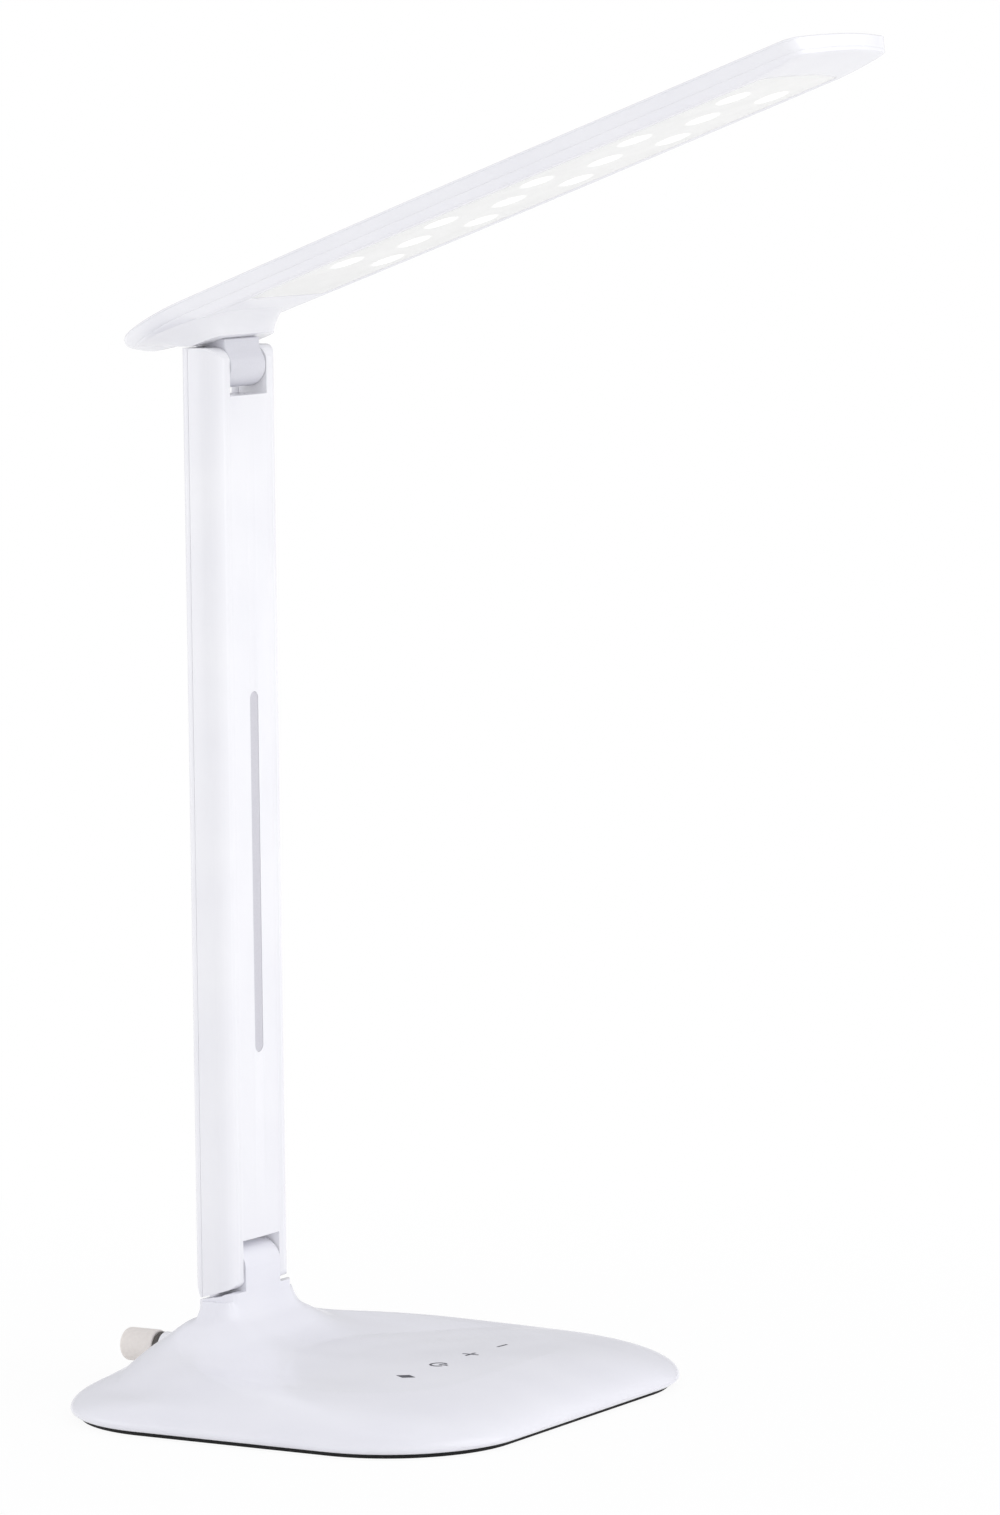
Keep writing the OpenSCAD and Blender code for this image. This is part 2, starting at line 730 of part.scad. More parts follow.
// Cross-section of the whole stem
module stem_section() {
    intersection() {
        translate([-hinge_back, 0]) union() {
            square([stem_dep, 2 * (stem_hy - stem_round)], center = true);
            square([stem_dep - 2 * stem_round, stem_wid], center = true);
            translate([-stem_hx + back_round, -stem_hy])
                square([stem_dep - back_round - stem_round, stem_wid]);
            translate([-stem_hx, -stem_hy + back_round])
                square([stem_dep / 2, stem_wid - 2 * back_round]);
            for (sy = [-1, 1]) {
                translate([stem_hx - stem_round, sy * (stem_hy - stem_round)]) circle(stem_round);
                translate([-stem_hx + back_round, sy * (stem_hy - back_round)]) circle(back_round);
            }
        }
        translate([stem_front_x - front_bow_r, 0]) circle(front_bow_r, $fn = 180);
    }
}

// The stem's outside, with the shaped ends of its cheeks and both notches
module stem_solid() {
    difference() {
        translate([0, 0, stem_bottom]) linear_extrude(stem_top - stem_bottom) stem_section();
        // lower ends, which rise to the front
        translate([stem_rear_x, 0, stem_bottom]) rotate([0, -bottom_slope, 0])
            block([-stem_dep, -stem_wid, -stem_wid], [2 * stem_dep, stem_wid, 0]);
        translate([stem_front_x - bottom_round, 0,
                stem_bottom + (stem_dep - bottom_round) * tan(bottom_slope) + bottom_round])
            edge_trim(bottom_round, 1, -1, stem_hy + 1);
        // rounded upper front
        translate([stem_front_x - top_round, 0, stem_top - top_round])
            edge_trim(top_round, 1, 1, stem_hy + 1);
        // notches
        block([stem_rear_x - 1, -notch_hy, stem_bottom - 20], [stem_front_x + 1, notch_hy, notch_low]);
        block([stem_rear_x - 1, -notch_hy, notch_high], [stem_front_x + 1, notch_hy, stem_top + 1]);
    }
}

pocket_r = 4.8;        // room around the bolt in a cheek

module stem_hollow() {
    block([seam_x - 1, -cavity_hy + 1, hollow_low], [cavity_front, cavity_hy - 1, hollow_high]);
    for (sy = [-1, 1]) {
        y0 = min(sy * ear_y, sy * cavity_hy);
        y1 = max(sy * ear_y, sy * cavity_hy);
        block([seam_x - 1, y0, low_pin[2]], [cavity_front, y1, high_pin[2]]);
        for (pin = [low_pin, high_pin]) translate(pin) across(pocket_r, y0, y1);
    }
}

module screw_bosses(x0, x1, r) {
    for (z = stem_screw_z, sy = [-1, 1]) translate([0, sy * stem_boss_y, z]) along(r, x0, x1);
}

module stem_body() {
    color(white) difference() {
        stem_solid();
        block([stem_rear_x - 1, -stem_hy - 1, 0], [seam_x, stem_hy + 1, stem_top + 1]);
        difference() {
            stem_hollow();
            screw_bosses(seam_x, stem_front_x, stem_boss_r);
        }
        screw_bosses(seam_x - 1, seam_x + 6, stem_screw_r + fit);
        strip_shape(strip_recess, seat);
        for (z = [notch_low - 1, hollow_high - 1]) translate([-hinge_back, 0, z])
            cylinder(r = wire_hole_r, h = stem_wall + 2);
        for (pin = [low_pin, high_pin])
            translate(pin) across(bolt_r + fit, -ear_y - 1, ear_y + 1);
        for (way = [-1, 1], sy = [-1, 1]) translate(way > 0 ? low_pin : high_pin)
            translate([0, sy * yoke_screw_y, way * yoke_screw_rise])
                along(yoke_screw_r + fit, 0, yoke_plate_x + 1.4);
    }
}

module stem_back() {
    color(white) difference() {
        intersection() {
            stem_solid();
            block([stem_rear_x - 1, -stem_hy - 1, 0], [seam_x, stem_hy + 1, stem_top + 1]);
        }
        difference() {
            block([seam_x - 1, -ear_y, hollow_low + 2], [seam_x + 1, ear_y, hollow_high - 2]);
            screw_bosses(seam_x - 2, seam_x, stem_boss_r);
        }
        // the bottom end, which curves in
        difference() {
            block([stem_rear_x - 1, -stem_hy - 1, stem_bottom - 1],
                  [seam_x + 1, stem_hy + 1, stem_bottom + back_end]);
            translate([stem_rear_x + back_end_r, 0, stem_bottom + back_end])
                across(back_end_r, -stem_hy - 2, stem_hy + 2);
        }
        screw_bosses(stem_rear_x - 1, seam_x + 1, stem_screw_r + fit);
        screw_bosses(stem_rear_x - 1, stem_rear_x + 1.2, stem_screw_head_r + fit);
    }
}

module stem_screws() {
    color(steel) {
        screw_bosses(stem_rear_x + 0.3, stem_rear_x + 1.2, stem_screw_head_r);
        screw_bosses(stem_rear_x + 1.2 - eps, seam_x + 5.5, stem_screw_r);
    }
}

// The slot in the stem's front, open to the front
module strip_shape(depth, grow) {
    r = strip_wid / 2 + grow;
    x0 = stem_front_x - depth;
    for (z = [strip_z + strip_wid / 2, strip_z + strip_len - strip_wid / 2])
        translate([0, 0, z]) along(r, x0, stem_front_x + 1);
    block([x0, -r, strip_z + strip_wid / 2], [stem_front_x + 1, r, strip_z + strip_len - strip_wid / 2]);
}

module stem_strip() {
    color("#bdbdc6") intersection() {
        strip_shape(strip_recess, 0);
        block([stem_front_x - strip_recess, -strip_wid, strip_z - 1],
              [stem_front_x - strip_recess + strip_thick, strip_wid, strip_z + strip_len + 1]);
    }
}

module stem_wires() {
    color("#8c2f2a") for (sy = [-1, 1])
        translate([yoke_plate_x - hinge_back - yoke_thick - wire_r - wire_gap, sy * 1.2, hollow_low + 1])
            cylinder(r = wire_r, h = hollow_high - hollow_low - 2);
}

// ---------- head ----------

// Outline of the head between its underside (t = 0) and its top edge (t = 1),
// drawn in by w all round
function head_outline(t, w) = let (
        rear = -head_rear + rear_rise * pow(1 - min(t / rear_share, 1), 1.5) + w,
        front = head_front - nose_rise * pow(1 - min(t / nose_share, 1), 1.6) - w,
        hw = blend(head_hw - head_lean, head_hw, t) - w,
        tail = tail_hw * (hw + w) - w,
        r = max(nose_corner - w, 2),
        flat = hw - r,
        x1 = front - front_bow - r,
        q = 2 / tail_power)
    concat(
        [for (a = [-90 : 22.5 : 0]) [x1 + r * cos(a), -flat + r * sin(a)]],
        [for (k = [-1 : 1]) [front - front_bow * pow(k / 2, 2), flat * k / 2]],
        [for (a = [0 : 22.5 : 90]) [x1 + r * cos(a), flat + r * sin(a)]],
        [for (k = [3 : -1 : 1]) taper_point(k / 4, hw, tail, 1)],
        [for (a = [0 : 11.25 : 180]) let (c = cos(a), s = sin(a))
            [tail_u - (tail_u - rear) * pow(s, q), tail * sign(c) * pow(abs(c), q)]],
        [for (k = [1 : 3]) taper_point(k / 4, hw, tail, -1)]);

function taper_point(t, hw, tail, sy) =
    [tail_u + taper_len * t, sy * blend(tail, hw, 1 - pow(1 - t, 1.6))];

function head_n(t) = blend(head_under, top_n, t);

// The crown: rings that draw in from the top edge and rise
function crown_ring(s, w, drop) =
    at_height(head_outline(1, w + s * (head_hw * tail_hw - 6)),
        top_n + head_crown * (1 - pow(1 - s, 2)) - drop);

module on_head() {
    translate(high_pin) rotate([0, -head_tilt, 0]) children();
}

seam_t = (seam_n - head_under) / head_side;

module head_outside_low() {
    loft([at_height(head_outline(0, 0.9), head_under),
          at_height(head_outline(0.1, 0.1), head_n(0.1)),
          at_height(head_outline(0.24, 0), head_n(0.24)),
          at_height(head_outline(seam_t, 0), seam_n)]);
}

module head_outside_high() {
    loft(concat([at_height(head_outline(seam_t, 0), seam_n),
        at_height(head_outline(0.9, 0), head_n(0.9))],
        [for (s = [0.03, 0.12, 0.3, 0.6, 1]) crown_ring(s, 0, 0)]));
}

// Plan of the lens: the head's outline drawn in by w and cut off square at the rear
module lens_plan(w, rear) {
    intersection() {
        polygon(head_outline(0, w));
        translate([rear, -head_wid]) square([lens_front - rear + lens_inset - w, 2 * head_wid]);
    }
}

module lens_slab(w, rear, n0, n1) {
    translate([0, 0, n0]) linear_extrude(n1 - n0) lens_plan(w, rear);
}

// The throat under the head, which draws in to the shoulder over the stem
throat_u0 = neck_under * sin(head_tilt);
function throat_ring(t) = let (k = pow(t, throat_power))
    at_height(rounded(
        blend(throat_u0, -3, k),
        blend(throat_hx, throat_top_hx, k),
        blend(throat_hy, throat_top_hy, k),
        blend(throat_corner, throat_top_hx - 1, k)),
    blend(3, head_under + 0.6, t));

module throat() {
    difference() {
        on_head() loft([for (t = [0, 0.45, 0.6, 0.7, 0.79, 0.87, 0.94, 1]) throat_ring(t)]);
        translate(high_pin) block([-head_wid, -head_wid, -head_wid], [head_wid, head_wid, neck_under]);
        on_head() block([0, -head_wid, -head_wid], [head_wid, head_wid, neck_under_n]);
    }
}

module upper_tongue() {
    translate(high_pin) {
        across(knuckle_r, -tongue_hy, tongue_hy);
        block([-knuckle_r, -tongue_hy, 0], [web_front, tongue_hy, neck_under + 1.5]);
    }
}

head_screw_spots = [for (u = [lens_rear - 10, lens_front + 8], sy = [-1, 1]) [u, sy * 16]];
led_screw_spots = [for (k = [0 : led_pairs - 1])
    [led_first + k * led_pitch + (k < led_pairs - 1 ? led_pitch / 4 : 8), 0]];

module head_frame() {
    color(white) difference() {
        union() {
            on_head() difference() {
                head_outside_low();
                difference() {
                    loft([at_height(head_outline(0, lens_inset - lens_ledge - seat), lens_n),
                          at_height(head_outline(seam_t, head_wall), seam_n + 1)]);
                    // bosses that the cover's screws pass through
                    for (p = head_screw_spots) translate([p[0], p[1], 0])
                        cylinder(r = head_boss_r, h = seam_n);
                }
                lens_slab(lens_inset, lens_rear, head_under - 1, lens_n + 1);
                lens_slab(lens_inset - lens_ledge - seat, lens_rear - lens_ledge - seat, lip_n, lens_n + 1);
            }
            throat();
            upper_tongue();
        }
        translate(high_pin) across(bore_r, -tongue_hy - 1, tongue_hy + 1);
        translate([-hinge_back - wire_hole_back, 0, high_pin[2] - 10])
            cylinder(r = wire_hole_r, h = wire_hole_len);
        on_head() for (p = head_screw_spots) translate([p[0], p[1], head_under + 1])
            cylinder(r = head_screw_r + fit, h = boss_cut);
    }
}

module head_cover() {
    color(white) on_head() difference() {
        head_outside_high();
        difference() {
            loft(concat([at_height(head_outline(seam_t, head_wall), seam_n - 1),
                at_height(head_outline(0.7, head_wall), head_n(0.7))],
                [for (s = [0.05, 0.3, 0.6, 0.9]) crown_ring(s, head_wall, head_wall)]));
            for (p = head_screw_spots) translate([p[0], p[1], seam_n])
                cylinder(r = head_boss_r, h = boss_cut);
        }
        for (p = head_screw_spots) translate([p[0], p[1], seam_n - 1])
            cylinder(r = head_screw_r + fit, h = 3.6);
    }
}

module head_screws() {
    color(steel) on_head() for (p = head_screw_spots) translate([p[0], p[1], head_under + 1])
        cylinder(r = head_screw_r, h = seam_n - head_under + 1.4);
}

module diffuser() {
    color("#f4f2ea") on_head() {
        lens_slab(lens_inset + seat, lens_rear + seat, lens_face_n, lip_n + eps);
        lens_slab(lens_inset - lens_ledge, lens_rear - lens_ledge, lip_n, lens_n);
    }
}

led_spots = concat(
    [for (k = [0 : led_pairs - 1], sy = [-1, 1]) [led_first + k * led_pitch, sy * led_across / 2]],
    [for (k = [0 : led_singles - 1]) [led_first + (k + 0.5) * led_pitch, 0]]);

// White tray on the diffuser's back, with a window for each LED
module reflector() {
    color("white") on_head() difference() {
        lens_slab(lens_inset - lens_ledge + 3 * seat, tray_rear, lens_n, board_n);
        for (p = led_spots) translate([p[0], p[1], lens_n - 1]) cylinder(r = 4.6, h = 10);
    }
}

module led_board() {
    color("white") on_head() difference() {
        block([board_rear, -board_hw, board_n], [board_front, board_hw, board_n + board_thick]);
        for (p = led_screw_spots) translate([p[0], p[1], board_n - 1])
            cylinder(r = board_screw_r + fit, h = board_thick + 2);
    }
}

module leds() {
    color("#fff6c8") on_head() for (p = led_spots) translate([p[0], p[1], led_n + led_thick / 2])
        cube([led_len, led_wid, led_thick], center = true);
}

module led_screws() {
    color(steel) on_head() for (p = led_screw_spots) translate([p[0], p[1], 0]) {
        translate([0, 0, board_n + board_thick]) cylinder(r = board_screw_head_r, h = 0.9);
        translate([0, 0, board_n]) cylinder(r = board_screw_r, h = board_thick + eps);
    }
}

foot_pad();
base_plate();
ballast_plate();
base_cover();
touch_icons();
touch_board();
touch_springs();
control_board();
control_parts();
inlet_sleeve();
inlet_nut();
cable_gland();
gland_ring();
base_screws();
board_screws();
lower_bolt();
lower_nut();
lower_spring_washers();
lower_friction_washers();
lower_yoke();
lower_yoke_screws();
stem_body();
stem_back();
stem_strip();
stem_wires();
stem_screws();
upper_bolt();
upper_nut();
upper_spring_washers();
upper_friction_washers();
upper_yoke();
upper_yoke_screws();
head_frame();
head_cover();
diffuser();
reflector();
led_board();
leds();
led_screws();
head_screws();
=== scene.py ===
import json
import math

import bmesh
import bpy
import numpy as np
from mathutils import Matrix, Vector


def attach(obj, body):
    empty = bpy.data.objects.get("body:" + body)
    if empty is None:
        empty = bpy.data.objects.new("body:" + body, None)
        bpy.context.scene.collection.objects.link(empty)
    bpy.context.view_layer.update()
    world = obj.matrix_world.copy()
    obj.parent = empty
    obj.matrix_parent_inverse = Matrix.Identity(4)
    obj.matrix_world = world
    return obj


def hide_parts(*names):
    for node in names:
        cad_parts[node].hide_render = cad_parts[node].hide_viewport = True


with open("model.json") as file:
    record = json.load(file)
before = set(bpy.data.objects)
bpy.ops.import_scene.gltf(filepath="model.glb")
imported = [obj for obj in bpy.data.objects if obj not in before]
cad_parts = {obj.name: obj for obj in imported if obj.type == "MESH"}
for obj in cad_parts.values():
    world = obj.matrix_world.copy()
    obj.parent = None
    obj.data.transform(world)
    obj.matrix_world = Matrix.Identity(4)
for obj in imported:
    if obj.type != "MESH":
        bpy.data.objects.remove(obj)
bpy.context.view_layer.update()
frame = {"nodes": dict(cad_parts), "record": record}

# ---------------------------------------------------------------- sizes, in mm
# HX, HY and HW are half sizes and R is a radius. U and N run along the head and square to it.
MM = 0.001
BASE_HX, BASE_HY, BASE_R = 81.0, 92.5, 45.0
BASE_TOP, EDGE_Z, PAD_T = 16.6, 3.3, 1.2
DOME_REACH, DOME_POWER, DOME_ROOT = 60.0, 2.5, 1.85
LIP_Z = PAD_T + 0.35
EDGE_REACH, REAR_REACH, CORNER_TAPER, LIP = 30.0, 11.4, 0.21, 1.9
PIN_X, PIN_LOW, PIN_HIGH = -51.5, 41.5, 340.5
STEM_HX, STEM_HY = 7.1, 19.5
NECK_HX, NECK_HY, NECK_R, NECK_TOP = STEM_HX + 0.15, STEM_HY + 0.2, 4.5, 31.5
FLARE_REACH, FLARE_POWER, FLARE_REAR, FLARE_SIDE = 29.7, 4.7, 2.0, 0.73
NECK_GAP = 0.3
KNUCKLE_R, TONGUE_HY, NOTCH_HY, NOTCH_DEEP = 7.0, 10.6, 11.15, 9.5
BACK_DEP, SEAM_GAP = 2.8, 0.12
FRONT_X, REAR_X = PIN_X + STEM_HX, PIN_X - STEM_HX
STEM_LOW, STEM_TOP = PIN_LOW - 9.7, PIN_HIGH + 6.5
SLOPE = math.tan(math.radians(16))
HEAD_TILT = math.radians(20)
HEAD_REAR, HEAD_FRONT, HEAD_HW = 36.0, 253.0, 32.5
HEAD_UNDER, HEAD_SIDE, HEAD_CROWN, HEAD_LEAN = 14.0, 7.5, 2.3, 3.6
TOP_N = HEAD_UNDER + HEAD_SIDE
SEAM_T = 0.42
LENS_INSET, LENS_REAR, LENS_FACE = 3.4, 28.0, HEAD_UNDER + 0.2
LED_FIRST, LED_PITCH, LED_PAIRS, LED_ACROSS = 62.0, 38.0, 5, 25.0
KEYS_X, KEY_PITCH, KEY_R, KEY_LINE = 29.7, 20.5, 3.0, 0.8
MARK_LONG, MARK_WIDE = 3.6, 2.2
# Most cutting solids reach out to FAR across, up to TALL, and SPARE past the stem's other faces
FAR, TALL, SPARE = 40, 400, 5


def smooth(lo, hi, x):
    """A step from 0 at lo to 1 at hi, level at both ends."""
    t = np.clip((np.asarray(x, float) - lo) / (hi - lo), 0, 1)
    return t * t * (3 - 2 * t)


# ---------------------------------------------------------------- materials
def rgb(code):
    """A colour from its sRGB hex code, as linear values."""
    parts = [int(code[i:i + 2], 16) / 255 for i in (0, 2, 4)]
    lin = [c / 12.92 if c <= 0.04045 else ((c + 0.055) / 1.055) ** 2.4 for c in parts]
    return (*lin, 1.0)


def add(tree, kind, inputs=None, **settings):
    """One shader node, its settings, and its inputs as values or as links from other nodes."""
    node = tree.nodes.new(kind)
    for name, value in settings.items():
        setattr(node, name, value)
    for key, value in (inputs or {}).items():
        socket = node.inputs[key]
        if isinstance(value, bpy.types.NodeSocket):
            tree.links.new(value, socket)
        else:
            socket.default_value = value
    return node


def ramp(tree, fac, stops):
    """A colour ramp through (place, colour) stops."""
    node = add(tree, "ShaderNodeValToRGB", {"Fac": fac})
    while len(node.color_ramp.elements) < len(stops):
        node.color_ramp.elements.new(0.5)
    for element, (place, colour) in zip(node.color_ramp.elements, stops):
        element.position = place
        element.color = colour
    return node.outputs["Color"]


def material(name, shader, build=None):
    """A Principled material; build(tree, place) may return links for its sockets."""
    mat = bpy.data.materials.new(name)
    mat.use_nodes = True
    tree = mat.node_tree
    bsdf = tree.nodes["Principled BSDF"]
    for key, value in shader.items():
        bsdf.inputs[key].default_value = value
    if build:
        place = add(tree, "ShaderNodeTexCoord").outputs["Object"]
        for key, link in build(tree, place).items():
            tree.links.new(link, bsdf.inputs[key])
    return mat


def mottled(colour_a, colour_b, grain_mm, bump_mm, rough=None, detail=3.0):
    """Two close shades and a fine relief from one noise whose grain is grain_mm across."""
    def build(tree, place):
        noise = add(tree, "ShaderNodeTexNoise",
                    {"Vector": place, "Scale": 1000 / grain_mm, "Detail": detail})
        fac = noise.outputs["Fac"]
        out = {"Base Color": ramp(tree, fac, [(0.3, rgb(colour_a)), (0.7, rgb(colour_b))])}
        if rough:
            spread = add(tree, "ShaderNodeMapRange",
                         {"Value": fac, "To Min": rough[0], "To Max": rough[1]})
            out["Roughness"] = spread.outputs["Result"]
        bump = add(tree, "ShaderNodeBump",
                   {"Height": fac, "Strength": 1.0, "Distance": bump_mm * MM})
        out["Normal"] = bump.outputs["Normal"]
        return out
    return build


def brushed(colour_a, colour_b, line_mm, axis):
    """Fine parallel lines left by rolling, drawn out along one axis."""
    def build(tree, place):
        stretch = [1.0, 1.0, 1.0]
        stretch[axis] = 0.04
        mapping = add(tree, "ShaderNodeMapping", {"Vector": place, "Scale": stretch})
        noise = add(tree, "ShaderNodeTexNoise",
                    {"Vector": mapping.outputs["Vector"], "Scale": 1000 / line_mm, "Detail": 4.0})
        fac = noise.outputs["Fac"]
        spread = add(tree, "ShaderNodeMapRange", {"Value": fac, "To Min": 0.25, "To Max": 0.5})
        return {"Base Color": ramp(tree, fac, [(0.3, rgb(colour_a)), (0.7, rgb(colour_b))]),
                "Roughness": spread.outputs["Result"]}
    return build


def circuit(tree, place):
    """Solder mask over copper: straight tracks in a slightly lighter green."""
    brick = add(tree, "ShaderNodeTexBrick",
                {"Vector": place, "Scale": 160.0, "Mortar Size": 0.06, "Color1": rgb("1f5a3c"),
                 "Color2": rgb("24653f"), "Mortar": rgb("3f8a55")})
    return {"Base Color": brick.outputs["Color"]}


def math_node(tree, operation, a, b=0.0):
    """The result of one math node."""
    return add(tree, "ShaderNodeMath", {0: a, 1: b}, operation=operation).outputs[0]


def led_glow(tree, place):
    """Opal plastic that lights up in a soft round patch under each LED."""
    split = add(tree, "ShaderNodeSeparateXYZ", {0: place})
    u, y = split.outputs["X"], split.outputs["Y"]
    first, pitch, across = LED_FIRST * MM, LED_PITCH * MM, LED_ACROSS / 2 * MM
    dark_from, lit_from = 6.4 * MM, 2.8 * MM

    def spot(start, offset):
        """Distance to the nearest LED of the rows that begin at start, offset to either side."""
        along = math_node(tree, "SUBTRACT", u, start - pitch / 2)
        along = math_node(tree, "SUBTRACT", math_node(tree, "FLOORED_MODULO", along, pitch), pitch / 2)
        side = math_node(tree, "SUBTRACT", math_node(tree, "ABSOLUTE", y), offset)
        square = math_node(tree, "ADD", math_node(tree, "MULTIPLY", along, along),
                           math_node(tree, "MULTIPLY", side, side))
        return math_node(tree, "SQRT", square)

    near = math_node(tree, "MINIMUM", spot(first, across), spot(first + pitch / 2, 0.0))
    core = add(tree, "ShaderNodeMapRange",
               {"Value": near, "From Min": dark_from, "From Max": lit_from},
               interpolation_type="SMOOTHSTEP").outputs["Result"]
    span = LED_PITCH * (LED_PAIRS - 1) * MM
    ahead = math_node(tree, "GREATER_THAN", u, first - pitch / 4)
    behind = math_node(tree, "LESS_THAN", u, first + span + pitch / 4)
    core = math_node(tree, "MULTIPLY", core, math_node(tree, "MULTIPLY", ahead, behind))
    noise = add(tree, "ShaderNodeTexNoise", {"Vector": place, "Scale": 120.0, "Detail": 2.0})
    shade = ramp(tree, noise.outputs["Fac"], [(0.3, rgb("e2e2e1")), (0.7, rgb("e7e7e6"))])
    glow = add(tree, "ShaderNodeMix", {"Factor": core, "A": rgb("686865"), "B": rgb("fffdf4")},
               data_type="RGBA")
    glow_out = [s for s in glow.outputs if s.type == "RGBA"][0]
    return {"Base Color": shade, "Emission Color": glow_out}


# Injection-moulded ABS, gloss, with the faint waviness of a moulded wall
ABS_WHITE = material("abs_gloss_white", {"Roughness": 0.2, "IOR": 1.5},
                     mottled("efeff3", "f3f3f6", 26.0, 0.012, rough=(0.17, 0.24), detail=1.0))
# The head's shells: the same glossy ABS, set a little whiter than the stem's as painted light
ABS_HEAD_LIT = material("abs_gloss_white_head_painted_light", {"Roughness": 0.2, "IOR": 1.5},
                    mottled("f2f2f6", "f5f5f8", 26.0, 0.012, rough=(0.17, 0.24), detail=1.0))
# The base cover, in the same ABS set a little greyer as painted shade
ABS_BASE_SHADED = material("abs_gloss_base_painted_shade", {"Roughness": 0.22, "IOR": 1.5},
                    mottled("e8e8ef", "ececf2", 30.0, 0.012, rough=(0.19, 0.26), detail=1.0))
# The same moulding's hinge knuckle, set greyer than the white ABS as painted shade for where it sits
# under the head; its bearing faces keep a satin spark-eroded texture
ABS_HINGE_SHADED = material("abs_satin_knuckle_painted_shade", {"Roughness": 0.38}, mottled("d9d9e0", "dddde4", 0.5, 0.003))
# Grey ABS inlay, spark-eroded satin finish
ABS_GREY = material("abs_satin_grey", {"Roughness": 0.45}, mottled("c9c8cf", "cfced5", 0.6, 0.01))
# Black moulded nylon and ABS, matt
BLACK_MOULDED = material("black_moulded", {"Roughness": 0.55}, mottled("141416", "1c1c1f", 0.8, 0.01))
# Opal acrylic sheet with a satin face
OPAL = material("acrylic_opal", {"Roughness": 0.38, "IOR": 1.49, "Emission Strength": 1.0}, led_glow)
# White reflective polyester and white solder mask
WHITE_MATT = material("white_reflector", {"Roughness": 0.6}, mottled("eeeee9", "f4f4f0", 1.5, 0.01))
# Phosphor cast in clear resin
PHOSPHOR = material("led_phosphor", {"Roughness": 0.25}, mottled("f2dc7c", "f8e694", 0.5, 0.005))
# Circuit board, glass epoxy with green mask
BOARD = material("board_green_mask", {"Roughness": 0.35}, circuit)
# Closed-cell rubber sheet
PAD_RUBBER = material("rubber_foam_black", {"Roughness": 0.85}, mottled("0b0b0c", "161617", 0.7, 0.05))
# Soft PVC of the cord gland, and the ring in its groove, whose dark colour is painted shade on top of
# the groove's real recess
GLAND_PVC = material("pvc_warm_grey", {"Roughness": 0.48}, mottled("e6e0db", "ece6e1", 1.2, 0.02))
GROOVE_SHADE_PVC = material("pvc_grey_painted_groove_shade", {"Roughness": 0.55}, mottled("4d4946", "5a5552", 1.0, 0.02))
# Pad-printed ink, satin
INK = material("pad_print_grey", {"Roughness": 0.5}, mottled("3c3c46", "454550", 0.4, 0.002))
# Insulated wire
WIRE = material("pvc_wire_red", {"Roughness": 0.45}, mottled("7a1d18", "8a241e", 2.0, 0.01))
# Bright zinc plate on turned and pressed steel
ZINC = material("zinc_plated_steel", {"Metallic": 1.0, "Roughness": 0.35},
                mottled("a9abb0", "c2c4c8", 2.5, 0.004, rough=(0.28, 0.42)))
# Cold-rolled steel plate
STEEL = material("cold_rolled_steel", {"Metallic": 1.0, "Roughness": 0.4},
                 brushed("84868a", "a2a4a8", 0.3, 1))

# Every solid gets the look of its material slot
SLOT_LOOK = {
    "white_gloss": ABS_WHITE, "white_matt": WHITE_MATT, "black_plastic": BLACK_MOULDED,
    "grey_plastic": ABS_GREY, "symbol_ink": INK, "diffuser_plastic": OPAL, "led_lens": PHOSPHOR,
    "board": BOARD, "wire_plastic": WIRE, "pad_rubber": PAD_RUBBER, "gland_rubber": GLAND_PVC,
    "dark_rubber": GROOVE_SHADE_PVC, "plain_steel": STEEL, "bright_steel": ZINC,
}
for part in frame["record"]["subparts"]:
    mesh = frame["nodes"][part["node"]].data
    mesh.materials.clear()
    mesh.materials.append(SLOT_LOOK[part["material_slot"]])


# ---------------------------------------------------------------- mesh helpers
def new_object(name, verts, faces, mat, place=None):
    """An object from points in mm."""
    mesh = bpy.data.meshes.new(name)
    mesh.from_pydata([tuple(c * MM for c in v) for v in verts], [], faces)
    mesh.validate()
    mesh.materials.append(mat)
    obj = bpy.data.objects.new(name, mesh)
    bpy.context.scene.collection.objects.link(obj)
    if place is not None:
        obj.matrix_world = place
    return obj


def loft(rings, caps=(True, True)):
    """Points and faces through closed rings with equal numbers of points, from end to end."""
    n = len(rings[0])
    verts = [tuple(p) for ring in rings for p in ring]
    faces = []
    for k in range(len(rings) - 1):
        for i in range(n):
            a, b = k * n + i, k * n + (i + 1) % n
            faces.append((a, b, b + n, a + n))
    if caps[0]:
        faces.append(tuple(range(n - 1, -1, -1)))
    if caps[1]:
        last = (len(rings) - 1) * n
        faces.append(tuple(range(last, last + n)))
    return verts, faces


def prism(name, points, axis, lo, hi, mat=None):
    """A closed outline pushed along one axis; its points hold the other two coordinates."""
    rings = []
    for end in (lo, hi):
        rings.append([{0: (end, a, b), 1: (a, end, b), 2: (a, b, end)}[axis] for a, b in points])
    verts, faces = loft(rings)
    obj = new_object(name, verts, faces, mat or ABS_WHITE)
    fix_normals(obj)
    return obj


def fix_normals(obj):
    """Turns every face outward."""
    bm = bmesh.new()
    bm.from_mesh(obj.data)
    bmesh.ops.recalc_face_normals(bm, faces=bm.faces)
    if bm.calc_volume(signed=True) < 0:
        bmesh.ops.reverse_faces(bm, faces=bm.faces)
    bm.to_mesh(obj.data)
    bm.free()


def apply_modifiers(obj):
    """Keeps what the modifiers make as the mesh itself."""
    dg = bpy.context.evaluated_depsgraph_get()
    mesh = bpy.data.meshes.new_from_object(obj.evaluated_get(dg))
    old = obj.data
    obj.modifiers.clear()
    obj.data = mesh
    bpy.data.meshes.remove(old)


def cut(obj, other, operation="DIFFERENCE"):
    """A boolean with another object, which is used up."""
    mod = obj.modifiers.new("cut", "BOOLEAN")
    mod.operation = operation
    mod.solver = "MANIFOLD"
    mod.object = other
    apply_modifiers(obj)
    bpy.data.objects.remove(other)


